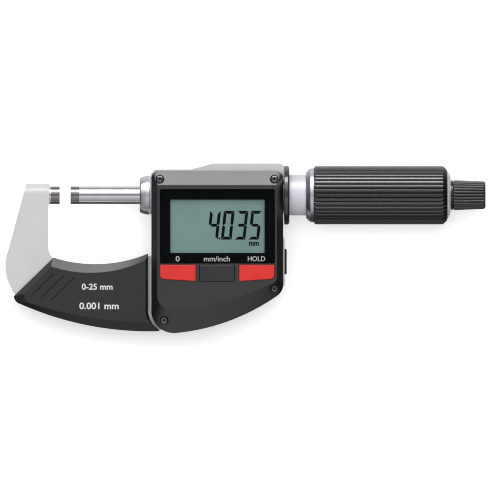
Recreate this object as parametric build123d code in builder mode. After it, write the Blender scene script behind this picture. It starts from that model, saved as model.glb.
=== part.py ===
"""Digital outside micrometer, 0 to 25 mm, lying on its back with the display up.

X is the measuring axis, from the anvil to the ratchet knob.  Z points out of the display and Y
from the bow to the measuring axis.  The origin is the centre of the anvil's measuring face.
Everything is in millimetres.
"""

import os

from build123d import *

os.makedirs("parts", exist_ok=True)

# Measuring line
spindle_radius = 3.25
reading = 4.035             # gap between the measuring faces as modelled
measuring_range = 25.0
anvil_stick_out = 3.75
anvil_shank_radius = 2.4
anvil_shank_length = 7.5
tip_length = 3.2            # carbide facing on anvil and spindle
running_gap = 0.05          # radial gap of a journal
fit_gap = 0.1               # gap of a loose fit
free_gap = 0.4              # gap between things that must never touch

# Frame
frame_thickness = 8.3
arm_top_width = 8.65
boss_step = 0.5             # anvil boss over the arm's inner edge
throat_length = 33.97       # anvil face to the housing
throat_depth = 25.48        # axis to the lowest point of the bow's inner edge
bow_height = 23.4
bow_skin = 0.4              # how far the insulating plates stand over the bow's edge
barrel_radius = 7.0
shoulder_low = 9.5          # height of the frame's top edge, left part
shoulder_high = 11.75       # the same, right part

# Housing
housing_length = 48.81
housing_top = 9.0
housing_corner = 2.9
wall = 1.6
front_wall_height = 9.5     # top of the front cover's upright wall
plateau_height = 13.4       # the raised front face
gasket_thickness = 0.5
gasket_width = 1.1
rear_depth = 11.0
rear_chamfer = 1.6
rear_floor = 1.3
seam_inset = 0.35           # the frame and gaskets stand back from the covers' edge by this

# Display and board
display_margin_left = 3.13  # housing side to the window, left and right
display_margin_right = 3.03
display_top = 2.3
display_height = 27.7
glass_thickness = 1.1
glass_recess = 0.2
glass_corner = 0.6
ledge_thickness = 0.9
ledge_inset = 0.3           # the hollow's upper part, inside the raised face's outline
lcd_border = 3.75           # glass edge to the visible panel, at the sides
lcd_border_top = 3.85
lcd_border_bottom = 3.9
lcd_overlap = 2.3           # how far the panel runs on behind the ledge
lcd_thickness = 1.8
holder_wall = 0.8
board_clearance = 0.6       # barrel to board
board_thickness = 1.0
chip_size = 9.0
chip_thickness = 1.1
spacer_radius = 1.5
board_screw_radius = 0.6
strip_width = 1.2

# Buttons
button_gap = 0.4            # glass to the buttons' top edge
button_height = 6.05
button_rib_left = 1.4
button_rib_right = 1.75
button_proud = 0.3
button_flange = 0.5
button_flange_thickness = 0.9
button_travel = 0.5
button_stem_radius = 1.4
dome_radius = 2.6
dome_height = 0.5

# Screws
screw_shaft_radius = 0.8
screw_head_radius = 1.4
screw_head_height = 1.3
counterbore_radius = 1.6
boss_radius = 2.5
screw_seat = 9.6            # underside of the front screws' heads
screw_bite = 2.3            # thread length in the frame
drive_radius = 0.7
drive_depth = 0.6

# Electronics window, encoder and port
window_side_left = 7.0
window_side_right = 6.3
window_top = 12.0
window_foot = 11.0          # window edge above the housing's lowest point
encoder_start = 22.0        # from the housing's left side
encoder_length = 10.0
encoder_reach = 8.3
coil_thickness = 1.2
hub_wall = 1.7
key_radius = 0.45
keyway_depth = 0.7
port_top = 20.3
port_length = 8.6
port_thickness = 5.8
port_boss = 0.52            # the lacquered boss round the port stands this far out
port_boss_length = 17.9
cap_thickness = 0.8
cap_border = 0.4

# Battery
battery_radius = 10.0
battery_thickness = 3.2
battery_wall = 1.6
lid_radius = 12.2
lid_thickness = 1.5
seal_section = 0.7
coin_slot_width = 2.0
coin_slot_depth = 0.8

# Sleeve, thimble and ratchet
ring_length = 2.1
ring_radius = 10.9
thread_play = 0.35          # thread radius over the spindle radius
guide_wall = 1.35
sleeve_tube_wall = 1.8
sleeve_radius = 7.47
sleeve_length = 27.0
nut_length = 13.0
nut_overhang = 6.0          # nut thread standing out of the sleeve
thimble_gap = 0.43
thimble_start = 8.5         # housing's right side to the thimble's front edge
thimble_front = 2.8         # silver front cone, along X
thimble_wall = 1.4
grip_wall = 1.5
grip_length = 48.8
grip_ribs = 40
rib_depth = 0.45
rib_groove = 0.62
end_cap_length = 1.9
knob_length = 12.75
knob_radius = 5.6
knob_taper = 0.5
knob_neck_radius = 3.5
knob_ribs = 28
axle_radius = 2.0
axle_head_radius = 2.9
hub_radius = 4.6

# Places worked out from the sizes above
frame_half = frame_thickness / 2
housing_left = throat_length
housing_right = throat_length + housing_length
housing_bottom = -(throat_depth + 25.6)
bow_bottom = -(throat_depth + bow_height)
boss_face = -anvil_stick_out
spindle_tip_x = reading
rest_plane = -rear_depth
front_base = frame_half + gasket_thickness
board_bottom = barrel_radius + board_clearance
board_top = board_bottom + board_thickness
glass_top = plateau_height - glass_recess
glass_bottom = glass_top - glass_thickness
ledge_bottom = glass_bottom - ledge_thickness
lcd_top = ledge_bottom - fit_gap
lcd_bottom = lcd_top - lcd_thickness
window_left = housing_left + display_margin_left
window_right = housing_right - display_margin_right
window_mid = (window_left + window_right) / 2
display_bottom = display_top - display_height
button_top = display_bottom - button_gap
button_bottom = button_top - button_height
right_foot = button_bottom - 2.1      # lower end of the housing's right side
frame_right = housing_right + 0.2
ring_start = housing_right + 0.3
sleeve_start = ring_start + ring_length
sleeve_end = sleeve_start + sleeve_length
nut_end = sleeve_end + nut_overhang
nut_start = nut_end - nut_length
thread_radius = spindle_radius + thread_play
guide_radius = spindle_radius + guide_wall
tube_radius = thread_radius + 0.5 + sleeve_tube_wall
thimble_x = housing_right + thimble_start
grip_start = thimble_x + thimble_front
grip_end = grip_start + grip_length
cap_end = grip_end + end_cap_length
knob_start = cap_end + 0.2
knob_end = knob_start + knob_length
thimble_bore = sleeve_radius + thimble_gap
thimble_radius = thimble_bore + thimble_wall
grip_radius = thimble_radius + grip_wall
wall_start = nut_end + reading + 2.0  # thimble's inner wall, clear of the nut at zero
wall_end = wall_start + 6.0
thread_start = housing_right + 1.3
encoder_left = housing_left + encoder_start
encoder_right = encoder_left + encoder_length
screw_places = [
    (housing_left + 3.13, housing_top - 3.1),
    (housing_right - 3.28, housing_top - 3.1),
    (housing_right - 3.28, right_foot - 0.6),
    (housing_left + 4.73, housing_bottom + 4.7),
]


def housing_face():
    """Outline of both covers, seen from the front."""
    foot = housing_bottom
    with BuildSketch() as face:
        with BuildLine():
            left, right, top = housing_left, housing_right, housing_top
            corner = housing_corner
            RadiusArc((left, top - corner), (left + corner, top), corner)
            Line((left + corner, top), (right - corner, top))
            RadiusArc((right - corner, top), (right, top - corner), corner)
            Line((right, top - corner), (right, right_foot))
            heel = (right - 2.2, right_foot - 3.3)
            waist = ((left + right) / 2 + 3.6, (foot + heel[1]) / 2 - 2.7)
            belly = ThreePointArc(heel, waist, (left + 8.8, foot))
            TangentArc(heel, (right, right_foot), tangent=-(belly % 0))
            ThreePointArc((left + 8.8, foot), (left + 2.7, foot + 2.2), (left, foot + 7.6))
            Line((left, foot + 7.6), (left, top - corner))
        make_face()
    return face.sketch


def plateau_face():
    """Outline of the raised front face."""
    foot = housing_bottom + 8.6
    side = right_foot + 3.4
    with BuildSketch() as face:
        with BuildLine():
            left, right, top = housing_left + 2.2, housing_right - 2.3, housing_top - 5.2
            corner = 0.7
            RadiusArc((left, top - corner), (left + corner, top), corner)
            Line((left + corner, top), (right - corner, top))
            RadiusArc((right - corner, top), (right, top - corner), corner)
            Line((right, top - corner), (right, side))
            heel = (right - 1.9, side - 2.1)
            ThreePointArc((right, side), (right - 0.5, side - 1.2), heel)
            ThreePointArc(heel, ((left + right) / 2 + 1.5, (foot + side) / 2 - 3.1), (left + 7.3, foot))
            ThreePointArc((left + 7.3, foot), (left + 2.0, foot + 1.4), (left, foot + 4.6))
            Line((left, foot + 4.6), (left, top - corner))
        make_face()
    return face.sketch


def frame_face():
    """Outline of the anvil arm, the bow and the hub that the covers are screwed to."""
    heel, arm, hub = -throat_depth, boss_face - boss_step, housing_left + 9
    elbow = (boss_face - 15.25, heel + 5.1)
    back = (boss_face - 13.55, heel - 9.8)
    chin = (boss_face - 12.2, heel - 12.0)
    foot = (housing_left + 4, heel - 24.4)
    bow_end = (housing_left - 0.7, heel + 3.0)
    crook = (-2.2, heel + 1.9)
    with BuildSketch() as face:
        with BuildLine():
            Polyline(
                (arm, heel + 6.0),
                (arm, -spindle_radius - 0.6),
                (boss_face, -spindle_radius + 0.3),
                (boss_face, frame_half),
                (boss_face - arm_top_width, frame_half),
                elbow,
            )
            ThreePointArc(elbow, (boss_face - 16.25, heel - 2.3), back)
            Line(back, chin)
            ThreePointArc(chin, (throat_length / 2, bow_bottom - 0.1), foot)
            Polyline(foot, (hub, heel - 20), (hub, heel + 3.0), bow_end)
            ThreePointArc(bow_end, (throat_length / 2 - 1.6, heel - bow_skin), crook)
            ThreePointArc(crook, (-3.6, heel + 3.5), (arm, heel + 6.0))
        make_face()
        with BuildSketch(mode=Mode.PRIVATE) as hub_face:
            add(housing_face())
            offset(amount=-seam_inset)
        add(hub_face.sketch)
        side, shoulder = housing_left - 0.2, housing_left + 14.6
        with BuildLine():
            Polyline(
                (side, 0),
                (side, shoulder_low - 1.6),
                (side + 1.6, shoulder_low),
                (shoulder, shoulder_low),
                (shoulder + 8.2, shoulder_high),
                (frame_right - 1.0, shoulder_high),
                (frame_right, shoulder_high - 1.0),
                (frame_right, 0),
                close=True,
            )
        make_face()
        with Locations((housing_right, -port_top - port_length / 2)):
            Rectangle(2 * port_boss, port_boss_length)
    return face.sketch


def plate_face(rim):
    """Outline of an insulating plate on the bow; rim is how far its raised face steps in."""
    heel, left = -throat_depth, boss_face
    end = housing_left - 1.25 - 0.26 * rim
    with BuildSketch() as face:
        with BuildLine():
            tip = (left - 13.2 + 1.29 * rim, heel - 11.9 + 0.35 * rim)
            nose = (left - 10.75 + 1.23 * rim, heel - 14.87 + 0.05 * rim)
            crook = (left + 1.5 - 0.31 * rim, heel + 2.35 - 1.05 * rim)
            top = (end, heel + 3.85 - 0.73 * rim)
            side = (end, heel - 17.9)
            foot = (end + 4.4 - 0.77 * rim, heel - 24.9 + rim)
            Line(tip, crook)
            ThreePointArc(crook, (throat_length / 2 - 1.6, heel - rim), top)
            Line(top, side)
            ThreePointArc(side, (end + 1.03 - 0.17 * rim, heel - 21.1 + 0.32 * rim), foot)
            ThreePointArc(foot, (throat_length / 2 - 5.6, bow_bottom + 0.48 + rim), nose)
            ThreePointArc(nose, (left - 12.6 + 1.23 * rim, heel - 13.67 + 0.08 * rim), tip)
        make_face()
    return face.sketch


def lengthwise(points):
    """Solid of revolution about the measuring axis from (x, radius) points."""
    with BuildPart() as turned:
        with BuildSketch(Plane.XY):
            with BuildLine():
                Polyline(*points, close=True)
            make_face()
        revolve(axis=Axis.X)
    return turned.part


def tube(start, end, outer, inner=0.0):
    """Plain tube or rod along the measuring axis."""
    return lengthwise([(start, inner), (start, outer), (end, outer), (end, inner)])


def save(piece, name):
    piece.part.label = name
    export_step(piece.part, f"parts/{name}.step")


# Frame ------------------------------------------------------------------------------------------
with BuildPart() as frame:
    with BuildSketch(Plane.XY.offset(-frame_half)):
        add(frame_face())
    extrude(amount=frame_thickness)
    # the arm's upper end is rounded about the measuring axis
    with BuildSketch(Plane.YZ.offset(boss_face - arm_top_width - 9)):
        with Locations((frame_half, 0)):
            Rectangle(frame_thickness, 2 * frame_thickness)
        Circle(frame_half, mode=Mode.SUBTRACT)
    extrude(amount=arm_top_width + 9 + anvil_stick_out, mode=Mode.SUBTRACT)
    add(tube(housing_left - 0.6, frame_right, barrel_radius))
    # electronics window and encoder chamber
    window_bottom = housing_bottom + window_foot
    window_size = housing_length - window_side_left - window_side_right
    window_centre = housing_left + window_side_left + window_size / 2
    with BuildSketch(Plane.XY.offset(-barrel_radius - 1)):
        with Locations((window_centre, (-window_top + window_bottom) / 2)):
            RectangleRounded(window_size, -window_top - window_bottom, 2.0)
        with Locations(((encoder_left + encoder_right) / 2, 0)):
            Rectangle(encoder_length, 2 * encoder_reach)
    extrude(amount=2 * barrel_radius + 2, mode=Mode.SUBTRACT)
    # port tunnel, from the window out through the right side
    with BuildSketch(Plane.YZ.offset(housing_right - window_side_right - 1)):
        with Locations((-port_top - port_length / 2, 0)):
            Rectangle(port_length, port_thickness)
    extrude(amount=window_side_right + 3, mode=Mode.SUBTRACT)
    # bores of the anvil, the spindle guide and the inner sleeve
    add(tube(boss_face - anvil_shank_length, boss_face, anvil_shank_radius), mode=Mode.SUBTRACT)
    add(tube(housing_left - 1, frame_right + 1, guide_radius), mode=Mode.SUBTRACT)
    # threaded holes of the cover screws, front and rear
    for side in (1, -1):
        with BuildSketch(Plane.XY.offset(side * (frame_half - screw_bite))):
            with Locations(*screw_places):
                Circle(screw_shaft_radius)
        extrude(amount=side * (screw_bite + barrel_radius - frame_half), mode=Mode.SUBTRACT)
save(frame, "frame")

# Anvil ------------------------------------------------------------------------------------------
with BuildPart() as anvil:
    add(tube(boss_face, -tip_length, spindle_radius))
    add(tube(boss_face - anvil_shank_length, boss_face, anvil_shank_radius))
save(anvil, "anvil")

with BuildPart() as anvil_tip:
    add(tube(-tip_length, 0, spindle_radius))
save(anvil_tip, "anvil_tip")

# Insulating plates on the bow ------------------------------------------------------------------
plate_thickness = 3.35
plate_side = 1.5            # upright side below the bevel
plate_rim = 3.1
groove_width = 0.5
groove_depth = 0.5
groove_length = 11.6


def insulating_plate(side, name):
    """Bevelled plate with three finger grooves; side is 1 in front and -1 behind."""
    heel = -throat_depth
    with BuildPart() as plate:
        with BuildSketch(Plane.XY.offset(side * frame_half)):
            add(plate_face(0))
        extrude(amount=side * plate_side)
        with BuildSketch(Plane.XY.offset(side * (frame_half + plate_side))):
            add(plate_face(0))
        with BuildSketch(Plane.XY.offset(side * (frame_half + plate_thickness))):
            add(plate_face(plate_rim))
        loft(ruled=True)
        with BuildSketch(Plane.XY.offset(side * (frame_half + plate_thickness - groove_depth))):
            for step in range(3):
                middle = (boss_face - 2.4 + 3.6 * step, heel - 7.6 - 0.9 * step)
                with Locations(Location(middle, 45)):
                    SlotOverall(groove_length, groove_width)
        extrude(amount=side * 2 * groove_depth, mode=Mode.SUBTRACT)
    save(plate, name)


insulating_plate(1, "front_insulator")
insulating_plate(-1, "rear_insulator")

# Front cover ------------------------------------------------------------------------------------
button_widths = (13.25, 12.95, 13.0)
button_spots = []
cursor = window_left + 0.05
button_span = window_right - window_left - 0.3 - button_rib_left - button_rib_right
for share, rib in zip(button_widths, (button_rib_left, button_rib_right, 0)):
    width = button_span * share / sum(button_widths)
    button_spots.append((cursor + width / 2, width))
    cursor += width + rib


def button_face(index, grow=0.0):
    """Outline of one button; its lower edge follows the shallow curve that all three share."""
    middle, width = button_spots[index]
    reach = width / 2 + grow
    low_mid = button_bottom - grow
    lift = (1.0, 0.0, 1.0)[index]
    rise = (lift if index == 0 else 0.0, lift if index == 2 else 0.0)
    with BuildSketch() as face:
        with BuildLine():
            Polyline(
                (middle - reach, low_mid + rise[0] + (0.9 if index == 0 else 0)),
                (middle - reach, button_top + grow),
                (middle + reach, button_top + grow),
                (middle + reach, low_mid + rise[1] + (0.9 if index == 2 else 0)),
            )
            if index == 2:
                ThreePointArc(
                    (middle + reach, low_mid + 1.9),
                    (middle + reach - 0.6, low_mid + 1.1),
                    (middle + reach - 1.8, low_mid + 0.75),
                )
                Line((middle + reach - 1.8, low_mid + 0.75), (middle - reach, low_mid))
            elif index == 0:
                ThreePointArc(
                    (middle - reach, low_mid + 1.9),
                    (middle - reach + 0.6, low_mid + 1.1),
                    (middle - reach + 1.8, low_mid + 0.75),
                )
                Line((middle - reach + 1.8, low_mid + 0.75), (middle + reach, low_mid))
            else:
                ThreePointArc(
                    (middle - reach, low_mid), (middle, low_mid - 0.15), (middle + reach, low_mid)
                )
        make_face()
    return face.sketch


def display_box(border, border_top, border_bottom, corner):
    """Rectangle inside the window's outline, by its borders."""
    width = window_right - window_left - 2 * border
    height = display_height - border_top - border_bottom
    with BuildSketch() as face:
        with Locations((window_mid, display_top - border_top - height / 2)):
            RectangleRounded(width, height, corner)
    return face.sketch


with BuildPart() as front_cover:
    with BuildSketch(Plane.XY.offset(front_base)):
        add(housing_face())
    extrude(amount=front_wall_height - front_base)
    with BuildSketch(Plane.XY.offset(front_wall_height)):
        add(housing_face())
    with BuildSketch(Plane.XY.offset(plateau_height)):
        add(plateau_face())
    loft(ruled=True)
    # hollow: wide at the foot, narrower under the raised face
    with BuildSketch(Plane.XY.offset(front_base)):
        add(housing_face())
        offset(amount=-wall)
    extrude(amount=front_wall_height - wall / 2 - front_base, mode=Mode.SUBTRACT)
    with BuildSketch(Plane.XY.offset(front_base)):
        add(plateau_face())
        offset(amount=-ledge_inset)
    extrude(amount=ledge_bottom - front_base, mode=Mode.SUBTRACT)
    # bosses round the screws
    with BuildSketch(Plane.XY.offset(front_base)):
        with Locations(*screw_places):
            Circle(boss_radius)
    extrude(amount=screw_seat - front_base)
    with BuildSketch(Plane.XY.offset(front_base)):
        with Locations(*screw_places):
            Circle(screw_shaft_radius + fit_gap)
    extrude(amount=plateau_height, mode=Mode.SUBTRACT)
    with BuildSketch(Plane.XY.offset(screw_seat)):
        with Locations(*screw_places):
            Circle(counterbore_radius)
    extrude(amount=plateau_height, mode=Mode.SUBTRACT)
    # display pocket, the opening in its ledge, and the button openings
    with BuildSketch(Plane.XY.offset(glass_bottom)):
        add(display_box(0, 0, 0, glass_corner))
    extrude(amount=plateau_height, mode=Mode.SUBTRACT)
    with BuildSketch(Plane.XY.offset(ledge_bottom - 1)):
        add(display_box(lcd_border - 0.6, lcd_border_top - 0.6, lcd_border_bottom - 0.6, glass_corner))
        for index in range(3):
            add(button_face(index, fit_gap))
    extrude(amount=plateau_height, mode=Mode.SUBTRACT)
    add(tube(housing_left - 2, housing_right + 2, barrel_radius + fit_gap), mode=Mode.SUBTRACT)
save(front_cover, "front_cover")

# Rear cover -------------------------------------------------------------------------------------
battery_x = window_centre - 1.0
battery_y = (window_bottom - window_top) / 2
battery_top = -rear_depth + lid_thickness + 0.9 + battery_thickness
pocket_radius = battery_radius + fit_gap + 0.2

with BuildPart() as rear_cover:
    with BuildSketch(Plane.XY.offset(rest_plane)):
        add(housing_face())
        offset(amount=-rear_chamfer)
    with BuildSketch(Plane.XY.offset(rest_plane + rear_chamfer)):
        add(housing_face())
    loft(ruled=True)
    with BuildSketch(Plane.XY.offset(rest_plane + rear_chamfer)):
        add(housing_face())
    extrude(amount=rear_depth - front_base - rear_chamfer)
    with BuildSketch(Plane.XY.offset(-front_base)):
        add(housing_face())
        offset(amount=-wall)
    extrude(amount=-(rear_depth - front_base - rear_floor), mode=Mode.SUBTRACT)
    with BuildSketch(Plane.XY.offset(rest_plane + rear_floor)):
        with Locations(*screw_places):
            Circle(boss_radius)
    extrude(amount=rear_depth - front_base - rear_floor)
    with BuildSketch(Plane.XY.offset(rest_plane + rear_floor)):
        with Locations((battery_x, battery_y)):
            Circle(lid_radius + battery_wall)
    extrude(amount=battery_top + battery_wall + rear_depth - rear_floor)
    # battery pocket, then the wider seat of the lid
    with BuildSketch(Plane.XY.offset(rest_plane)):
        with Locations((battery_x, battery_y)):
            Circle(pocket_radius)
    extrude(amount=battery_top + 0.6 + rear_depth, mode=Mode.SUBTRACT)
    with BuildSketch(Plane.XY.offset(rest_plane)):
        with Locations((battery_x, battery_y)):
            Circle(lid_radius + fit_gap)
    extrude(amount=lid_thickness + seal_section, mode=Mode.SUBTRACT)
    with BuildSketch(Plane.XY.offset(rest_plane)):
        with Locations(*screw_places):
            Circle(counterbore_radius)
    extrude(amount=rear_depth - screw_seat + screw_head_height, mode=Mode.SUBTRACT)
    with BuildSketch(Plane.XY.offset(rest_plane)):
        with Locations(*screw_places):
            Circle(screw_shaft_radius + fit_gap)
    extrude(amount=rear_depth, mode=Mode.SUBTRACT)
    # slot for the battery contacts' legs
    with BuildSketch(Plane.XY.offset(battery_top)):
        with Locations((battery_x, battery_y)):
            Rectangle(6, 3)
    extrude(amount=battery_wall + 1, mode=Mode.SUBTRACT)
    add(tube(housing_left - 2, housing_right + 2, barrel_radius + fit_gap), mode=Mode.SUBTRACT)
save(rear_cover, "rear_cover")


def gasket(side, name):
    """Flat seal between the frame and a cover; the barrel divides it in two."""
    low = frame_half if side > 0 else -front_base
    with BuildPart() as seal:
        with BuildSketch(Plane.XY.offset(low)):
            add(housing_face())
            offset(amount=-seam_inset)
            with BuildSketch(mode=Mode.PRIVATE) as inside:
                add(housing_face())
                offset(amount=-seam_inset - gasket_width)
            add(inside.sketch, mode=Mode.SUBTRACT)
        extrude(amount=gasket_thickness)
        add(tube(housing_left - 2, housing_right + 2, barrel_radius + fit_gap), mode=Mode.SUBTRACT)
    save(seal, name)


gasket(1, "front_gasket")
gasket(-1, "rear_gasket")


def cover_screws(side, name):
    """Four countersunk-socket screws, one solid each."""
    seat = screw_seat if side > 0 else -(screw_seat - screw_head_height)
    with BuildPart() as screws:
        with BuildSketch(Plane.XY.offset(seat)):
            with Locations(*screw_places):
                Circle(screw_head_radius)
        extrude(amount=side * screw_head_height)
        with BuildSketch(Plane.XY.offset(seat)):
            with Locations(*screw_places):
                Circle(screw_shaft_radius)
        extrude(amount=-side * (abs(seat) - frame_half + screw_bite))
        with BuildSketch(Plane.XY.offset(seat + side * (screw_head_height - drive_depth))):
            with Locations(*screw_places):
                RegularPolygon(drive_radius, 6)
        extrude(amount=side * 2 * drive_depth, mode=Mode.SUBTRACT)
    save(screws, name)


cover_screws(1, "cover_screws")
cover_screws(-1, "rear_screws")

# Display ----------------------------------------------------------------------------------------
with BuildPart() as display_window:
    with BuildSketch(Plane.XY.offset(glass_bottom)):
        add(display_box(fit_gap, fit_gap, fit_gap, glass_corner))
    extrude(amount=glass_thickness)
save(display_window, "display_window")

lcd_side = lcd_border - lcd_overlap
lcd_head = lcd_border_top - lcd_overlap
lcd_foot = lcd_border_bottom - lcd_overlap

with BuildPart() as lcd_panel:
    with BuildSketch(Plane.XY.offset(lcd_bottom)):
        add(display_box(lcd_side, lcd_head, lcd_foot, 0.2))
    extrude(amount=lcd_thickness)
save(lcd_panel, "lcd_panel")

with BuildPart() as display_holder:
    with BuildSketch(Plane.XY.offset(board_top)):
        grow = holder_wall + fit_gap
        add(display_box(lcd_side - grow, lcd_head - grow, lcd_foot - grow, 0.6))
        add(display_box(lcd_side - fit_gap, lcd_head - fit_gap, lcd_foot - fit_gap, 0.2), mode=Mode.SUBTRACT)
    extrude(amount=lcd_top - board_top)
save(display_holder, "display_holder")

with BuildPart() as contact_strips:
    with BuildSketch(Plane.XY.offset(board_top)):
        strip_length = window_right - window_left - 2 * lcd_side - 2 * strip_width
        for height in (display_top - lcd_head - strip_width, display_bottom + lcd_foot + strip_width):
            with Locations((window_mid, height)):
                Rectangle(strip_length, strip_width)
    extrude(amount=lcd_bottom - board_top)
save(contact_strips, "contact_strips")

# Circuit board ----------------------------------------------------------------------------------
board_left = window_left + 0.5
board_right = window_right - 0.5
board_foot = right_foot + 2.1
spacer_spots = [
    (x, y)
    for x in (board_left + 1.6, board_right - 1.6)
    for y in (-window_top - 1.0, board_foot + 2.4)
]
screw_spots = spacer_spots[1::2]

with BuildPart() as circuit_board:
    with BuildSketch(Plane.XY.offset(board_bottom)):
        with Locations(((board_left + board_right) / 2, (display_top + board_foot) / 2)):
            Rectangle(board_right - board_left, display_top - board_foot)
        with Locations(*screw_spots):
            Circle(board_screw_radius, mode=Mode.SUBTRACT)
    extrude(amount=board_thickness)
save(circuit_board, "circuit_board")

with BuildPart() as board_spacers:
    with BuildSketch(Plane.XY.offset(frame_half)):
        with Locations(*spacer_spots):
            Circle(spacer_radius)
        with Locations(*screw_spots):
            Circle(board_screw_radius, mode=Mode.SUBTRACT)
    extrude(amount=board_bottom - frame_half)
save(board_spacers, "board_spacers")

with BuildPart() as board_screws:
    with BuildSketch(Plane.XY.offset(board_top)):
        with Locations(*screw_spots):
            Circle(2 * board_screw_radius)
    extrude(amount=0.6)
    with BuildSketch(Plane.XY.offset(board_top)):
        with Locations(*screw_spots):
            Circle(board_screw_radius)
    extrude(amount=-(board_top - frame_half))
save(board_screws, "board_screws")

with BuildPart() as processor_chip:
    with BuildSketch(Plane.XY.offset(board_bottom)):
        with Locations((window_mid, -window_top - chip_size / 2 - 2)):
            Rectangle(chip_size, chip_size)
    extrude(amount=-chip_thickness)
save(processor_chip, "processor_chip")

button_middle = (button_top + button_bottom) / 2
switch_spots = [(middle, button_middle) for middle, width in button_spots]

with BuildPart() as button_switches:
    with BuildSketch(Plane.XY.offset(board_top)):
        with Locations(*switch_spots):
            Circle(dome_radius)
    extrude(amount=dome_height, taper=30)
save(button_switches, "button_switches")

# Buttons ----------------------------------------------------------------------------------------
flange_top = ledge_bottom - fit_gap
flange_bottom = flange_top - button_flange_thickness
stem_end = board_top + dome_height + button_travel + fit_gap

for index, name in enumerate(("zero_button", "unit_button", "hold_button")):
    with BuildPart() as button:
        with BuildSketch(Plane.XY.offset(flange_bottom)):
            add(button_face(index, 0))
        extrude(amount=plateau_height + button_proud - flange_bottom)
        with BuildSketch(Plane.XY.offset(flange_bottom)):
            add(button_face(index, button_flange))
        extrude(amount=button_flange_thickness)
        with BuildSketch(Plane.XY.offset(stem_end)):
            with Locations(switch_spots[index]):
                Circle(button_stem_radius)
        extrude(amount=flange_bottom - stem_end)
    save(button, name)

# Battery ----------------------------------------------------------------------------------------
with BuildPart() as battery:
    with BuildSketch(Plane.XY.offset(battery_top - battery_thickness)):
        with Locations((battery_x, battery_y)):
            Circle(battery_radius)
    extrude(amount=battery_thickness)
    chamfer(battery.edges().group_by(Axis.Z)[0], 0.3)
save(battery, "battery")

with BuildPart() as battery_contacts:
    with BuildSketch(Plane.XY.offset(battery_top)):
        with Locations((battery_x, battery_y)):
            Rectangle(4.4, 2)
        with Locations((battery_x - 6, battery_y)):
            Rectangle(3, 2)
    extrude(amount=0.3)
    with BuildSketch(Plane.XY.offset(battery_top + 0.3)):
        with Locations((battery_x, battery_y)):
            Rectangle(4.4, 0.4)
    extrude(amount=battery_wall + 1.2)
save(battery_contacts, "battery_contacts")

with BuildPart() as battery_lid_seal:
    with BuildSketch(Plane.XY.offset(rest_plane + lid_thickness)):
        with Locations((battery_x, battery_y)):
            Circle(lid_radius - fit_gap)
            Circle(pocket_radius + 0.2, mode=Mode.SUBTRACT)
    extrude(amount=seal_section)
save(battery_lid_seal, "battery_lid_seal")

with BuildPart() as battery_lid:
    with BuildSketch(Plane.XY.offset(rest_plane)):
        with Locations((battery_x, battery_y)):
            Circle(lid_radius)
    extrude(amount=lid_thickness)
    chamfer(battery_lid.edges().group_by(Axis.Z)[0], 0.3)
    with BuildSketch(Plane.XY.offset(rest_plane)):
        with Locations((battery_x, battery_y)):
            SlotOverall(1.5 * lid_radius, coin_slot_width)
    extrude(amount=coin_slot_depth, mode=Mode.SUBTRACT)
save(battery_lid, "battery_lid")

# Data port --------------------------------------------------------------------------------------
port_face_x = housing_right + port_boss
port_y = -port_top - port_length / 2

with BuildPart() as port_connector:
    with BuildSketch(Plane.YZ.offset(housing_right - window_side_right)):
        with Locations((port_y, 0)):
            Rectangle(port_length, port_thickness)
    extrude(amount=window_side_right - 1.2)
    with BuildSketch(Plane.YZ.offset(housing_right - window_side_right + 1.5)):
        with Locations((port_y, 0)):
            Rectangle(port_length - 1.6, port_thickness - 1.6)
    extrude(amount=window_side_right, mode=Mode.SUBTRACT)
save(port_connector, "port_connector")

with BuildPart() as port_cap:
    with BuildSketch(Plane.YZ.offset(port_face_x)):
        with Locations((port_y, 0)):
            RectangleRounded(port_length + 2 * cap_border, port_thickness + 2 * cap_border, 0.8)
    extrude(amount=cap_thickness)
    with BuildSketch(Plane.YZ.offset(port_face_x)):
        with Locations((port_y, 0)):
            Rectangle(port_length - 1.6 - 2 * fit_gap, port_thickness - 1.6 - 2 * fit_gap)
    extrude(amount=-2.5)
    chamfer(port_cap.edges().group_by(Axis.X)[-1], 0.25)
save(port_cap, "port_cap")

# Lock ring and spindle guide --------------------------------------------------------------------
lock_start = housing_left - 4.3
lock_end = housing_left - 0.7
nose_start = lock_start + 0.9
nose_radius = guide_radius + 0.4
guide_end = encoder_left - 1.0

with BuildPart() as lock_ring:
    profile = [
        (lock_start, spindle_radius + free_gap),
        (lock_start, barrel_radius - 0.75),
        (lock_start + 0.5, barrel_radius - 0.45),
        (lock_start + 1.2, barrel_radius - 0.2),
        (lock_start + 2.2, barrel_radius + 0.05),
        (lock_end, barrel_radius + 0.2),
        (lock_end, nose_radius + fit_gap),
        (nose_start - 0.2, nose_radius + fit_gap),
        (nose_start - 0.2, spindle_radius + free_gap),
    ]
    add(lengthwise(profile))
save(lock_ring, "lock_ring")

with BuildPart() as spindle_guide:
    add(tube(nose_start, housing_left - 0.6, nose_radius, spindle_radius + running_gap))
    add(tube(housing_left - 0.6, guide_end, guide_radius, spindle_radius + running_gap))
    add(tube(nose_start, nose_start + 0.9, guide_radius - 0.4, 0), mode=Mode.SUBTRACT)
    with BuildSketch(Plane.YZ.offset(nose_start)):
        with PolarLocations(nose_radius / 2, 3):
            Rectangle(nose_radius + 1, 0.6)
    extrude(amount=8, mode=Mode.SUBTRACT)
save(spindle_guide, "spindle_guide")

with BuildPart() as spindle_seal:
    add(tube(nose_start, nose_start + 0.9, guide_radius - 0.4, spindle_radius + 2 * running_gap))
save(spindle_seal, "spindle_seal")

# Spindle ----------------------------------------------------------------------------------------
spindle_end = wall_end + 1.0
keyway_start = encoder_left - 1.0 - (measuring_range - reading) + 1
keyway_end = encoder_right + reading + 1

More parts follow.
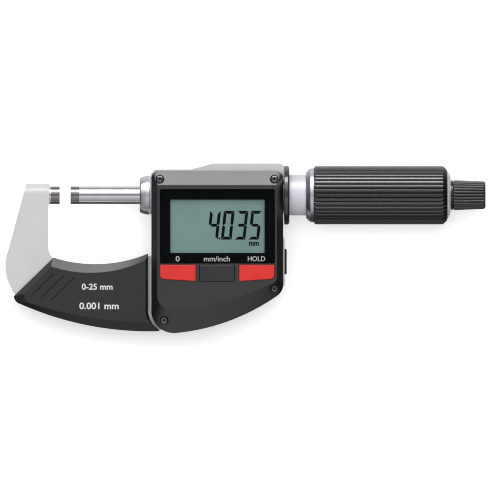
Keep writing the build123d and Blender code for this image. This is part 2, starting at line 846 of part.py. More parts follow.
with BuildPart() as spindle:
    add(tube(spindle_tip_x + tip_length, thread_start, spindle_radius))
    add(tube(thread_start, wall_start, thread_radius))
    add(tube(wall_start, wall_end, hub_radius))
    add(tube(wall_end, spindle_end, thread_radius))
    add(tube(wall_start + 1, spindle_end, axle_radius), mode=Mode.SUBTRACT)
    with BuildSketch(Plane.XY.offset(spindle_radius - keyway_depth)):
        with Locations(((keyway_start + keyway_end) / 2, 0)):
            SlotOverall(keyway_end - keyway_start, 2 * (key_radius + running_gap))
    extrude(amount=spindle_radius, mode=Mode.SUBTRACT)
save(spindle, "spindle")

with BuildPart() as spindle_tip:
    add(tube(spindle_tip_x, spindle_tip_x + tip_length, spindle_radius))
save(spindle_tip, "spindle_tip")

# Encoder ----------------------------------------------------------------------------------------
hub_outer = spindle_radius + running_gap + hub_wall
rotor_start = encoder_left + coil_thickness + 0.8
thrust_length = 1.4

with BuildPart() as encoder_stator:
    add(tube(encoder_left, encoder_left + coil_thickness, barrel_radius, hub_outer + free_gap))
save(encoder_stator, "encoder_stator")

with BuildPart() as encoder_rotor:
    add(tube(rotor_start, rotor_start + coil_thickness, barrel_radius - 0.2, spindle_radius + running_gap))
    hub_end = encoder_right - thrust_length - 0.1
    add(tube(rotor_start, hub_end, hub_outer, spindle_radius + running_gap))
    with BuildSketch(Plane.XY):
        with Locations((hub_end - 2, 0)):
            Circle(key_radius)
    extrude(amount=hub_outer + 1, mode=Mode.SUBTRACT)
save(encoder_rotor, "encoder_rotor")

with BuildPart() as rotor_key:
    with BuildSketch(Plane.XY.offset(spindle_radius - keyway_depth + fit_gap)):
        with Locations((hub_end - 2, 0)):
            Circle(key_radius)
    extrude(amount=hub_wall + keyway_depth - fit_gap)
save(rotor_key, "rotor_key")

with BuildPart() as rotor_thrust_ring:
    add(tube(encoder_right - thrust_length, encoder_right, hub_outer, spindle_radius + free_gap))
save(rotor_thrust_ring, "rotor_thrust_ring")

with BuildPart() as encoder_flex:
    with BuildSketch(Plane.YZ.offset(encoder_left + 0.1)):
        Rectangle(4, 2 * board_bottom)
        Circle(barrel_radius, mode=Mode.SUBTRACT)
        with Locations((0, -board_bottom)):
            Rectangle(6, 2 * board_bottom, mode=Mode.SUBTRACT)
    extrude(amount=coil_thickness - 0.2)
save(encoder_flex, "encoder_flex")

# Sleeves ----------------------------------------------------------------------------------------
inner_bore_end = thread_start - reading - 0.5

with BuildPart() as inner_sleeve:
    profile = [
        (encoder_right + 2, spindle_radius + running_gap),
        (encoder_right + 2, guide_radius),
        (frame_right, guide_radius),
        (frame_right, tube_radius),
        (nut_end, tube_radius),
        (nut_end, thread_radius + running_gap),
        (nut_start, thread_radius + running_gap),
        (nut_start, thread_radius + 0.5),
        (inner_bore_end, thread_radius + 0.5),
        (inner_bore_end, spindle_radius + running_gap),
    ]
    add(lengthwise(profile))
    with BuildSketch(Plane.YZ.offset(nut_end)):
        with PolarLocations(tube_radius / 2, 3):
            Rectangle(tube_radius + 1, 0.6)
    extrude(amount=-nut_length + 2, mode=Mode.SUBTRACT)
save(inner_sleeve, "inner_sleeve")

with BuildPart() as sleeve_ring:
    profile = [
        (ring_start, tube_radius),
        (ring_start, ring_radius - 0.25),
        (ring_start + 0.25, ring_radius),
        (sleeve_start - 0.6, ring_radius),
        (sleeve_start - 0.1, ring_radius - 0.5),
        (sleeve_start - 0.1, tube_radius),
    ]
    add(lengthwise(profile))
save(sleeve_ring, "sleeve_ring")

with BuildPart() as outer_sleeve:
    add(tube(sleeve_start - 0.1, sleeve_end, sleeve_radius, tube_radius))
save(outer_sleeve, "outer_sleeve")

with BuildPart() as adjusting_nut:
    add(tube(sleeve_end + 0.3, nut_end - 0.3, sleeve_radius - 0.2, tube_radius))
    with BuildSketch(Plane.YZ.offset(nut_end - 0.3)):
        with PolarLocations(sleeve_radius, 2):
            Rectangle(1.6, 1.2)
    extrude(amount=-1.5, mode=Mode.SUBTRACT)
save(adjusting_nut, "adjusting_nut")

# Thimble ----------------------------------------------------------------------------------------
with BuildPart() as thimble:
    profile = [
        (thimble_x, thimble_bore),
        (thimble_x, thimble_bore + 0.6),
        (thimble_x + 0.85, thimble_radius),
        (thimble_x + 1.6, thimble_radius + 0.6),
        (grip_start, thimble_radius + 0.65),
        (grip_start, thimble_radius),
        (grip_end, thimble_radius),
        (grip_end, thimble_bore + 0.5),
        (grip_end - 5, thimble_bore + 0.5),
        (grip_end - 5, thimble_bore),
        (wall_end, thimble_bore),
        (wall_end, hub_radius),
        (wall_start, hub_radius),
        (wall_start, thimble_bore),
    ]
    add(lengthwise(profile))
save(thimble, "thimble")


def ribbed(start, end, radius, ribs, depth, groove):
    """Rod along the measuring axis with lengthwise grooves between its ribs."""
    with BuildPart() as rod:
        with BuildSketch(Plane.YZ.offset(start)):
            Circle(radius)
            with PolarLocations(radius, ribs):
                Rectangle(2 * depth, groove, mode=Mode.SUBTRACT)
        extrude(amount=end - start)
    return rod.part


grip_overhang = 0.8         # the grip's end laps over the end cap's cone

with BuildPart() as thimble_grip:
    grip_tip = grip_end + grip_overhang
    add(ribbed(grip_start, grip_tip, grip_radius, grip_ribs, rib_depth, rib_groove))
    profile = [
        (grip_start, thimble_radius),
        (grip_start, grip_radius - 0.35),
        (grip_start + 0.35, grip_radius),
        (grip_tip - 1.7, grip_radius),
        (grip_tip, grip_radius - 2.0),
        (grip_tip, thimble_radius - 0.7),
        (grip_end, thimble_radius),
    ]
    add(lengthwise(profile), mode=Mode.INTERSECT)
save(thimble_grip, "thimble_grip")

with BuildPart() as thimble_end_cap:
    profile = [
        (grip_end - 4.8, knob_neck_radius + running_gap),
        (grip_end - 4.8, thimble_bore + 0.5),
        (grip_end, thimble_bore + 0.5),
        (grip_end, thimble_radius),
        (grip_end + 1.1, thimble_radius - 1.0),
        (grip_end + 1.5, thimble_radius - 1.8),
        (cap_end, thimble_radius - 2.9),
        (cap_end, knob_radius - 0.4),
        (cap_end - 0.6, knob_radius - 0.4),
        (cap_end - 0.6, knob_neck_radius + running_gap),
    ]
    add(lengthwise(profile))
save(thimble_end_cap, "thimble_end_cap")

with BuildPart() as friction_washer:
    add(tube(cap_end - 0.6, knob_start, knob_radius - 0.4, knob_neck_radius + running_gap))
save(friction_washer, "friction_washer")

# Ratchet ----------------------------------------------------------------------------------------
neck_start = grip_end - 4.0
recess_floor = knob_end - 4.2

with BuildPart() as ratchet_knob:
    add(ribbed(knob_start, knob_end, knob_radius, knob_ribs, rib_depth * 1.1, rib_groove * 0.85))
    outer = [
        (knob_start, axle_radius + running_gap),
        (knob_start, knob_radius - 0.1),
        (knob_start + 0.3, knob_radius),
        (knob_end - 0.9, knob_radius - knob_taper),
        (knob_end - 0.25, knob_radius - knob_taper - 0.3),
        (knob_end, knob_radius - knob_taper - 0.8),
        (knob_end, axle_radius + running_gap),
    ]
    add(lengthwise(outer), mode=Mode.INTERSECT)
    # smooth collar, neck and the recess that takes the screw's head
    add(tube(knob_start, knob_start + 0.9, knob_radius - 0.25, axle_radius + running_gap))
    add(tube(neck_start, knob_start, knob_neck_radius, axle_radius + running_gap))
    add(tube(recess_floor, knob_end, axle_head_radius + fit_gap), mode=Mode.SUBTRACT)
save(ratchet_knob, "ratchet_knob")

washer_step = 0.35
washer_count = 4

with BuildPart() as ratchet_springs:
    for count in range(washer_count):
        start = recess_floor + washer_step * count
        add(tube(start, start + washer_step - 0.05, axle_head_radius - 0.2, axle_radius + running_gap))
save(ratchet_springs, "ratchet_springs")

head_start = recess_floor + washer_step * washer_count

with BuildPart() as ratchet_screw:
    add(tube(wall_start + 1, head_start, axle_radius))
    add(tube(head_start, head_start + 1.8, axle_head_radius))
    with BuildSketch(Plane.YZ.offset(head_start + 0.7)):
        Rectangle(2 * axle_head_radius + 1, 0.8)
    extrude(amount=2, mode=Mode.SUBTRACT)
save(ratchet_screw, "ratchet_screw")
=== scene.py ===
import math

import bmesh
import bpy
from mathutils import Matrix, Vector


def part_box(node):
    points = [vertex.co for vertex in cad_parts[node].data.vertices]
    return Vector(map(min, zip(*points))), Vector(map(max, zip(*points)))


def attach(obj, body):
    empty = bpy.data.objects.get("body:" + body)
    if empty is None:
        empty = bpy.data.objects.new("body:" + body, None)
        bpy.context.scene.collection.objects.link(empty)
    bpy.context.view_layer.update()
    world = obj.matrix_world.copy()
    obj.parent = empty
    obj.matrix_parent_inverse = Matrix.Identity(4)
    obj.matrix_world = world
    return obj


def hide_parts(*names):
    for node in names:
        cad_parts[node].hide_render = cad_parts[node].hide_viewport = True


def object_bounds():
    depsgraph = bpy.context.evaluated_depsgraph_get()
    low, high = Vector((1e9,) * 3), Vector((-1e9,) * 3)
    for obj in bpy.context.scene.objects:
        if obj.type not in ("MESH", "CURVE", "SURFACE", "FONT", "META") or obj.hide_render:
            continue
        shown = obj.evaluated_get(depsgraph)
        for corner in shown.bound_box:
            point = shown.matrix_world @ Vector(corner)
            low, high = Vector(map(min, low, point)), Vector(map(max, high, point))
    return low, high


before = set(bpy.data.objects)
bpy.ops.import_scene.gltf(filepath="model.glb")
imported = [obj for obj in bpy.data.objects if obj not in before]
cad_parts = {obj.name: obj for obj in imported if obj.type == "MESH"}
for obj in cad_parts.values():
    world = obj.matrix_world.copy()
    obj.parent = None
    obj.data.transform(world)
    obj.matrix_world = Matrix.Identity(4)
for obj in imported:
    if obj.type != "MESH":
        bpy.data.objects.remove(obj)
cadLow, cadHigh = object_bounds()
mm = 0.001


# Camera and studio

cameraLook = {
    "centre": (70.5, -20.3),   # point of the bench under the lens, mm
    "span": 185.19,            # width of the view, mm
    "height": 400,
}


def makeCamera(look):
    camera = bpy.data.objects.new("benchCamera", bpy.data.cameras.new("benchCamera"))
    bpy.context.scene.collection.objects.link(camera)
    camera.data.type = "ORTHO"
    camera.data.ortho_scale = look["span"] * mm
    camera.data.clip_start, camera.data.clip_end = 0.01, 10
    x, y = look["centre"]
    camera.location = (x * mm, y * mm, look["height"] * mm)
    bpy.context.scene.camera = camera


studioLook = {
    "floorSize": 6.0,                      # m
    "floorColour": (0.86, 0.86, 0.86),
    "floorGlow": 0.5,                      # the bench top is a light table
    # bands of sky across the bench: degrees from straight up towards its head, brightness
    "skyBands": [(-180, 0.30), (-150, 0.06), (-86, 0.04), (-78, 0.40), (-59, 0.44),
                 (-44, 0.48), (-30, 0.64), (-17, 0.80), (-9, 0.60), (-3, 0.26), (9, 0.24),
                 (15, 0.50), (22, 0.85), (32, 1.2), (44, 1.5), (71, 1.6), (77, 0.35),
                 (104, 0.32), (112, 0.8), (180, 0.5)],
    "skyBlue": 1.02,                       # blue of every band against its grey
    "skyEnds": 0.05,                       # share left at the two ends of the bench
    "skyEndsFrom": 0.35,                   # where along the bench the sky starts to darken
    "skyEndsTo": 0.85,
    "skySeen": (1.0, 1.0, 1.0),            # what the camera sees of it
}

# sizes in mm; a softbox either fills evenly or only shows as a gleam in glossy surfaces
softboxes = {
    "overheadBox": {"place": (60, 60, 520), "target": (70, -20, 0), "size": (620, 260), "watts": 1.4,
                    "gleam": False},
    "headBox": {"place": (60, 410, 205), "target": (70, 0, 0), "size": (760, 180), "watts": 2.0,
                "gleam": True},
}


def makeFloor(look):
    half = look["floorSize"] / 2
    level = cadLow.z
    mesh = bpy.data.meshes.new("benchTop")
    corners = [(-half, -half, level), (half, -half, level), (half, half, level), (-half, half, level)]
    mesh.from_pydata(corners, [], [(0, 1, 2, 3)])
    floor = bpy.data.objects.new("benchTop", mesh)
    bpy.context.scene.collection.objects.link(floor)
    mesh.materials.append(benchMaterial(look))
    floor.visible_glossy = False     # dark surfaces would mirror it as a grey veil


def benchMaterial(look):
    material, tree, shader = newMaterial("paleBench", look["floorColour"], 0.9)
    shader.inputs["Specular IOR Level"].default_value = 0.1
    shader.inputs["Emission Color"].default_value = (1, 1, 1, 1)
    shader.inputs["Emission Strength"].default_value = look["floorGlow"]
    return material


# Sky in bands across the bench, which give round steel its light and dark lines
def makeWorld(look):
    world = bpy.data.worlds.new("paleStudio")
    world.use_nodes = True
    tree = world.node_tree
    background = tree.nodes["Background"]
    place = tree.nodes.new("ShaderNodeTexCoord")
    split = tree.nodes.new("ShaderNodeSeparateXYZ")
    angle = tree.nodes.new("ShaderNodeMath")
    angle.operation = "ARCTAN2"
    turn = tree.nodes.new("ShaderNodeMapRange")
    turn.inputs["From Min"].default_value = -math.pi
    turn.inputs["From Max"].default_value = math.pi
    ramp = tree.nodes.new("ShaderNodeValToRGB")
    stops = ramp.color_ramp.elements
    bands = look["skyBands"]
    blue = look["skyBlue"]
    for degrees, grey in bands[1:-1]:
        stops.new(degrees / 360 + 0.5).color = (grey, grey, grey * blue, 1)
    for stop, (degrees, grey) in ((stops[0], bands[0]), (stops[-1], bands[-1])):
        stop.color = (grey, grey, grey * blue, 1)
    seen = tree.nodes.new("ShaderNodeLightPath")
    mix = tree.nodes.new("ShaderNodeMix")
    mix.data_type = "RGBA"
    tree.links.new(place.outputs["Generated"], split.inputs[0])
    tree.links.new(split.outputs["Y"], angle.inputs[0])
    tree.links.new(split.outputs["Z"], angle.inputs[1])
    tree.links.new(angle.outputs[0], turn.inputs["Value"])
    tree.links.new(turn.outputs["Result"], ramp.inputs["Fac"])
    tree.links.new(seen.outputs["Is Camera Ray"], mix.inputs["Factor"])
    along = tree.nodes.new("ShaderNodeMath")
    along.operation = "ABSOLUTE"
    tree.links.new(split.outputs["X"], along.inputs[0])
    ends = tree.nodes.new("ShaderNodeMapRange")
    ends.inputs["From Min"].default_value = look["skyEndsFrom"]
    ends.inputs["From Max"].default_value = look["skyEndsTo"]
    ends.inputs["To Min"].default_value = 1
    ends.inputs["To Max"].default_value = look["skyEnds"]
    tree.links.new(along.outputs[0], ends.inputs["Value"])
    shade = tree.nodes.new("ShaderNodeVectorMath")
    shade.operation = "SCALE"
    tree.links.new(ramp.outputs["Color"], shade.inputs[0])
    tree.links.new(ends.outputs["Result"], shade.inputs["Scale"])
    tree.links.new(shade.outputs[0], mix.inputs[6])
    mix.inputs[7].default_value = (*look["skySeen"], 1)
    tree.links.new(mix.outputs[2], background.inputs["Color"])
    bpy.context.scene.world = world


def makeSoftboxes(boxes):
    for name, box in boxes.items():
        light = bpy.data.lights.new(name, "AREA")
        light.shape = "RECTANGLE"
        light.size, light.size_y = box["size"][0] * mm, box["size"][1] * mm
        light.energy = box["watts"]
        lamp = bpy.data.objects.new(name, light)
        bpy.context.scene.collection.objects.link(lamp)
        lamp.visible_glossy = box["gleam"]
        lamp.visible_diffuse = not box["gleam"]
        lamp.location = Vector(box["place"]) * mm
        aim = Vector(box["target"]) * mm - lamp.location
        lamp.rotation_euler = aim.to_track_quat("-Z", "Y").to_euler()


# Materials

def newMaterial(name, colour, roughness, metallic=0.0):
    material = bpy.data.materials.new(name)
    material.use_nodes = True
    shader = material.node_tree.nodes["Principled BSDF"]
    shader.inputs["Base Color"].default_value = (*colour, 1)
    shader.inputs["Roughness"].default_value = roughness
    shader.inputs["Metallic"].default_value = metallic
    return material, material.node_tree, shader


# Scene colour of an ordinary 0-255 colour
def linear(red, green, blue):
    return tuple((value / 255) ** 2.2 for value in (red, green, blue))


def patternPlace(tree, stretch=(1, 1, 1)):
    place = tree.nodes.new("ShaderNodeTexCoord")
    mapping = tree.nodes.new("ShaderNodeMapping")
    mapping.inputs["Scale"].default_value = stretch
    tree.links.new(place.outputs["Object"], mapping.inputs["Vector"])
    return mapping.outputs["Vector"]


# Noise whose features are about size mm across
def noise(tree, vector, size, detail=4, roughness=0.55):
    node = tree.nodes.new("ShaderNodeTexNoise")
    node.inputs["Scale"].default_value = 1 / (size * mm)
    node.inputs["Detail"].default_value = detail
    node.inputs["Roughness"].default_value = roughness
    tree.links.new(vector, node.inputs["Vector"])
    return node.outputs["Fac"]


def between(tree, factor, low, high, fromLow=0.3, fromHigh=0.7):
    node = tree.nodes.new("ShaderNodeMapRange")
    node.inputs["From Min"].default_value = fromLow
    node.inputs["From Max"].default_value = fromHigh
    node.inputs["To Min"].default_value = low
    node.inputs["To Max"].default_value = high
    tree.links.new(factor, node.inputs["Value"])
    return node.outputs["Result"]


def colourBetween(tree, factor, dark, light, fromLow=0.3, fromHigh=0.7):
    ramp = tree.nodes.new("ShaderNodeValToRGB")
    ramp.color_ramp.elements[0].position = fromLow
    ramp.color_ramp.elements[1].position = fromHigh
    ramp.color_ramp.elements[0].color = (*dark, 1)
    ramp.color_ramp.elements[1].color = (*light, 1)
    tree.links.new(factor, ramp.inputs["Fac"])
    return ramp.outputs["Color"]


# Surface relief depth mm deep, over edges rounded by edge mm
def addRelief(tree, shader, height, depth, edge):
    bump = tree.nodes.new("ShaderNodeBump")
    bump.inputs["Strength"].default_value = 1
    bump.inputs["Distance"].default_value = depth * mm
    tree.links.new(height, bump.inputs["Height"])
    if edge:
        rounded = tree.nodes.new("ShaderNodeBevel")
        rounded.samples = 4
        rounded.inputs["Radius"].default_value = edge * mm
        tree.links.new(rounded.outputs["Normal"], bump.inputs["Normal"])
    tree.links.new(bump.outputs["Normal"], shader.inputs["Normal"])


# A finish with drifting tone, uneven gloss and fine relief, from one dictionary
def finish(name, look):
    material, tree, shader = newMaterial(name, look["light"], look["gloss"][0], look.get("metal", 0))
    if "specular" in look:
        shader.inputs["Specular IOR Level"].default_value = look["specular"]
    if "coat" in look:
        shader.inputs["Coat Weight"].default_value = look["coat"]
        shader.inputs["Coat Roughness"].default_value = look.get("coatGloss", 0.1)
    vector = patternPlace(tree, look.get("stretch", (1, 1, 1)))
    drift = noise(tree, vector, look["driftSize"], 3)
    grain = noise(tree, vector, look["grainSize"], look.get("grainDetail", 3))
    tree.links.new(colourBetween(tree, drift, look["dark"], look["light"]), shader.inputs["Base Color"])
    tree.links.new(between(tree, grain, *look["gloss"]), shader.inputs["Roughness"])
    addRelief(tree, shader, grain, look["grainDepth"], look.get("edge", 0))
    return material


finishLooks = {
    "greyLacquer": {"dark": linear(207, 207, 207), "light": linear(214, 214, 214), "gloss": (0.34, 0.42),
                    "driftSize": 14, "grainSize": 0.9, "grainDepth": 0.006, "edge": 0.35,
                    "coat": 0.25, "coatGloss": 0.25},
    "coverPlastic": {"dark": linear(15, 15, 18), "light": linear(21, 21, 24), "gloss": (0.34, 0.44),
                     "driftSize": 12, "grainSize": 0.22, "grainDepth": 0.01, "edge": 0.3,
                     "specular": 0.95, "coat": 0.75, "coatGloss": 0.34},
    "platePlastic": {"dark": linear(14, 16, 19), "light": linear(19, 21, 24), "gloss": (0.4, 0.5),
                     "driftSize": 12, "grainSize": 0.22, "grainDepth": 0.01, "edge": 0.3,
                     "specular": 0.75, "coat": 0.4, "coatGloss": 0.42},
    "gripPlastic": {"dark": linear(16, 16, 19), "light": linear(22, 22, 25), "gloss": (0.22, 0.3),
                    "driftSize": 9, "grainSize": 0.25, "grainDepth": 0.0008, "edge": 0, "specular": 1.0,
                    "coat": 0.6, "coatGloss": 0.2},
    "redButtonPlastic": {"dark": linear(216, 44, 39), "light": linear(226, 52, 46), "gloss": (0.36, 0.46),
                         "driftSize": 6, "grainSize": 0.3, "grainDepth": 0.006, "edge": 0.4},
    "darkButtonPlastic": {"dark": linear(34, 34, 38), "light": linear(40, 40, 44), "gloss": (0.36, 0.46),
                          "driftSize": 6, "grainSize": 0.3, "grainDepth": 0.006, "edge": 0.4,
                          "specular": 0.8},
    "lidPlastic": {"dark": linear(42, 42, 45), "light": linear(50, 50, 53), "gloss": (0.5, 0.62),
                   "driftSize": 7, "grainSize": 0.3, "grainDepth": 0.015, "edge": 0.25},
    "sealRubber": {"dark": linear(24, 24, 25), "light": linear(32, 32, 33), "gloss": (0.7, 0.85),
                   "driftSize": 5, "grainSize": 0.15, "grainDepth": 0.01, "edge": 0.15},
    "blackRing": {"dark": linear(34, 34, 37), "light": linear(44, 44, 47), "gloss": (0.16, 0.24),
                  "driftSize": 6, "grainSize": 0.3, "grainDepth": 0.003, "edge": 0.2, "coat": 0.8,
                  "specular": 0.9},
    "blackSteel": {"dark": linear(128, 128, 132), "light": linear(150, 150, 154), "gloss": (0.26, 0.36),
                   "driftSize": 1.5, "grainSize": 0.2, "grainDepth": 0.003, "edge": 0.05, "metal": 1},
    "carbide": {"dark": linear(146, 141, 138), "light": linear(160, 155, 152), "gloss": (0.14, 0.2),
                "driftSize": 2, "grainSize": 0.1, "grainDepth": 0.0006, "edge": 0, "metal": 1},
    "nickel": {"dark": linear(190, 186, 176), "light": linear(208, 205, 196), "gloss": (0.2, 0.32),
               "driftSize": 4, "grainSize": 0.4, "grainDepth": 0.003, "edge": 0.06, "metal": 1},
    "brass": {"dark": linear(196, 160, 96), "light": linear(214, 180, 116), "gloss": (0.24, 0.36),
              "driftSize": 4, "grainSize": 0.3, "grainDepth": 0.004, "edge": 0.06, "metal": 1},
    "springSteel": {"dark": linear(140, 140, 148), "light": linear(164, 164, 172), "gloss": (0.28, 0.4),
                    "driftSize": 3, "grainSize": 0.2, "grainDepth": 0.004, "edge": 0.06, "metal": 1},
    "holderPlastic": {"dark": linear(214, 212, 204), "light": linear(226, 224, 218), "gloss": (0.5, 0.6),
                      "driftSize": 10, "grainSize": 0.25, "grainDepth": 0.008, "edge": 0.15},
    "chipEpoxy": {"dark": linear(26, 26, 28), "light": linear(36, 36, 38), "gloss": (0.55, 0.7),
                  "driftSize": 3, "grainSize": 0.08, "grainDepth": 0.006, "edge": 0.06},
    "amberFilm": {"dark": linear(176, 96, 28), "light": linear(196, 120, 44), "gloss": (0.24, 0.34),
                  "driftSize": 5, "grainSize": 0.5, "grainDepth": 0.003, "edge": 0, "coat": 0.5},
}


turnedLooks = {
    "satinSteel": {"dark": linear(214, 214, 221), "light": linear(222, 222, 229), "gloss": (0.4, 0.5),
                   "lineSize": 0.11, "lineDepth": 0.0012, "driftSize": 6, "edge": 0.18, "metal": 0.18},
    "thimbleSteel": {"dark": linear(216, 216, 223), "light": linear(230, 230, 237), "gloss": (0.28, 0.38),
                     "lineSize": 0.11, "lineDepth": 0.0012, "driftSize": 6, "edge": 0.18},
    "groundSteel": {"dark": linear(222, 221, 223), "light": linear(232, 231, 233), "gloss": (0.05, 0.09),
                    "lineSize": 0.06, "lineDepth": 0.0001, "driftSize": 5, "edge": 0},
    "sleeveSteel": {"dark": linear(176, 176, 182), "light": linear(196, 196, 202), "gloss": (0.2, 0.3),
                    "lineSize": 0.09, "lineDepth": 0.001, "driftSize": 5, "edge": 0.1},
}


turnedStretch = (1, 0.03, 0.03)   # draws the noise out round the axis, into rings
turnedSheen = 0.35                # anisotropy


# Steel turned or ground about the measuring axis: fine rings that lie across X
def turnedFinish(name, look):
    material, tree, shader = newMaterial(name, look["light"], look["gloss"][0], look.get("metal", 1))
    shader.inputs["Anisotropic"].default_value = turnedSheen
    around = patternPlace(tree, turnedStretch)
    plain = patternPlace(tree)
    rings = noise(tree, around, look["lineSize"], 2)
    drift = noise(tree, plain, look["driftSize"], 3)
    tree.links.new(colourBetween(tree, drift, look["dark"], look["light"]), shader.inputs["Base Color"])
    tree.links.new(between(tree, rings, *look["gloss"]), shader.inputs["Roughness"])
    addRelief(tree, shader, rings, look["lineDepth"], look["edge"])
    return material


boardLook = {
    "mask": linear(24, 92, 56),
    "maskLight": linear(34, 112, 68),
    "copper": linear(70, 140, 80),
    "trackPitch": 6.4,             # mm, size of the pattern of tracks
    "trackWidth": 0.03,            # share of that size
    "trackDepth": 0.03,
    "driftSize": 9,
    "gloss": (0.3, 0.42),
}


# Circuit board: green mask with the ghost of copper tracks under it
def boardFinish(name, look):
    material, tree, shader = newMaterial(name, look["mask"], look["gloss"][0])
    vector = patternPlace(tree)
    drift = noise(tree, vector, look["driftSize"], 2)
    tracks = tree.nodes.new("ShaderNodeTexBrick")
    tracks.inputs["Scale"].default_value = 1 / (look["trackPitch"] * mm)
    tracks.inputs["Mortar Size"].default_value = look["trackWidth"]
    tracks.inputs["Color1"].default_value = (*look["mask"], 1)
    tracks.inputs["Color2"].default_value = (*look["maskLight"], 1)
    tracks.inputs["Mortar"].default_value = (*look["copper"], 1)
    tree.links.new(vector, tracks.inputs["Vector"])
    mix = tree.nodes.new("ShaderNodeMix")
    mix.data_type = "RGBA"
    tree.links.new(between(tree, drift, 0, 0.5), mix.inputs["Factor"])
    tree.links.new(tracks.outputs["Color"], mix.inputs[6])
    mix.inputs[7].default_value = (*look["maskLight"], 1)
    tree.links.new(mix.outputs[2], shader.inputs["Base Color"])
    tree.links.new(between(tree, drift, *look["gloss"]), shader.inputs["Roughness"])
    addRelief(tree, shader, tracks.outputs["Fac"], look["trackDepth"], 0)
    return material


screenLook = {"dark": linear(129, 160, 155), "light": linear(137, 168, 163), "driftSize": 18,
              "cell": 0.28, "gloss": (0.45, 0.55), "specular": 0.25}


# Reflective liquid crystal: grey-green, with the faint grain of its polariser
def screenFinish(name, look):
    material, tree, shader = newMaterial(name, look["light"], look["gloss"][0])
    shader.inputs["Specular IOR Level"].default_value = look["specular"]
    vector = patternPlace(tree)
    drift = noise(tree, vector, look["driftSize"], 1)
    grain = noise(tree, vector, look["cell"], 2)
    tree.links.new(colourBetween(tree, drift, look["dark"], look["light"]), shader.inputs["Base Color"])
    tree.links.new(between(tree, grain, *look["gloss"]), shader.inputs["Roughness"])
    return material


inkGloss = (0.45, 0.6)
inkSpeckle = 0.9      # brightness of the darker specks


# Printed ink: nearly even, with specks of speck mm
def inkFinish(name, colour, speck, shine=0.3):
    material, tree, shader = newMaterial(name, colour, inkGloss[0])
    shader.inputs["Specular IOR Level"].default_value = shine
    grain = noise(tree, patternPlace(tree), speck, 3)
    dark = tuple(value * inkSpeckle for value in colour)
    tree.links.new(colourBetween(tree, grain, dark, colour), shader.inputs["Base Color"])
    tree.links.new(between(tree, grain, *inkGloss), shader.inputs["Roughness"])
    return material


glassLook = {"tint": linear(20, 22, 24), "alpha": 0.08, "gloss": (0.03, 0.06), "smearSize": 7,
             "smearStretch": (1, 0.4, 1)}


# Clear window: an even film over what lies behind it, with a faint wipe mark in its gloss
def glassFinish(name, look):
    material, tree, shader = newMaterial(name, look["tint"], look["gloss"][0])
    shader.inputs["Alpha"].default_value = look["alpha"]
    smear = noise(tree, patternPlace(tree, look["smearStretch"]), look["smearSize"], 2)
    tree.links.new(between(tree, smear, *look["gloss"]), shader.inputs["Roughness"])
    return material


def makeFinishes():
    made = {name: finish(name, look) for name, look in finishLooks.items()}
    made.update({name: turnedFinish(name, look) for name, look in turnedLooks.items()})
    made["boardGreen"] = boardFinish("boardGreen", boardLook)
    made["screenGlass"] = screenFinish("screenGlass", screenLook)
    made["windowGlass"] = glassFinish("windowGlass", glassLook)
    made["borderInk"] = inkFinish("borderInk", linear(9, 11, 12), 0.4, 0.06)
    made["labelInk"] = inkFinish("labelInk", linear(232, 232, 234), 0.2)
    made["whiteInk"] = inkFinish("whiteInk", linear(236, 236, 236), 0.2)
    made["digitInk"] = inkFinish("digitInk", linear(6, 16, 14), 0.5, 0.1)
    return made


# node of the CAD frame: its finish
nodeFinishes = {
    "frame": "greyLacquer", "anvil": "groundSteel", "anvil_tip": "carbide",
    "front_insulator": "platePlastic", "rear_insulator": "platePlastic",
    "front_cover": "coverPlastic", "rear_cover": "coverPlastic",
    "display_window": "windowGlass", "lcd_panel": "screenGlass", "display_holder": "holderPlastic",
    "contact_strips": "sealRubber", "circuit_board": "boardGreen", "board_spacers": "nickel",
    "board_screws": "nickel", "processor_chip": "chipEpoxy", "button_switches": "springSteel",
    "zero_button": "redButtonPlastic", "unit_button": "darkButtonPlastic",
    "hold_button": "redButtonPlastic", "front_gasket": "sealRubber", "rear_gasket": "sealRubber",
    "cover_screws": "blackSteel", "rear_screws": "blackSteel", "battery": "nickel",
    "battery_contacts": "springSteel", "battery_lid": "lidPlastic", "battery_lid_seal": "sealRubber",
    "port_connector": "chipEpoxy", "port_cap": "sealRubber", "lock_ring": "thimbleSteel",
    "spindle_guide": "brass", "spindle_seal": "sealRubber", "spindle": "groundSteel",
    "spindle_tip": "carbide", "encoder_stator": "boardGreen", "encoder_rotor": "boardGreen",
    "rotor_key": "springSteel", "rotor_thrust_ring": "brass", "encoder_flex": "amberFilm",
    "sleeve_ring": "blackRing", "inner_sleeve": "sleeveSteel", "outer_sleeve": "satinSteel",
    "adjusting_nut": "sleeveSteel", "thimble": "thimbleSteel", "thimble_grip": "gripPlastic",
    "thimble_end_cap": "satinSteel", "friction_washer": "springSteel", "ratchet_knob": "gripPlastic",
    "ratchet_springs": "springSteel", "ratchet_screw": "springSteel",
}


def dressNodes(finishes):
    for name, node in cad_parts.items():
        node.data.materials.clear()
        node.data.materials.append(finishes[nodeFinishes[name]])


# Shared mesh work

def linkPiece(name, mesh, finishName, body, standsFor=()):
    mesh.materials.clear()
    mesh.materials.append(finishes[finishName])
    piece = bpy.data.objects.new(name, mesh)
    bpy.context.scene.collection.objects.link(piece)
    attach(piece, body)
    if standsFor:
        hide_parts(*standsFor)
    return piece


sharpFrom = math.radians(32)      # steeper edges stay sharp to the eye
closeReach = 1e-6                 # m, corners nearer than this become one


# Merges doubles, turns every face outwards and marks the sharp edges
def closeMesh(mesh):
    work = bmesh.new()
    work.from_mesh(mesh)
    bmesh.ops.remove_doubles(work, verts=work.verts, dist=closeReach)
    bmesh.ops.recalc_face_normals(work, faces=work.faces)
    for face in work.faces:
        face.smooth = True
    work.to_mesh(mesh)
    work.free()
    mesh.set_sharp_from_angle(angle=sharpFrom)
    return mesh


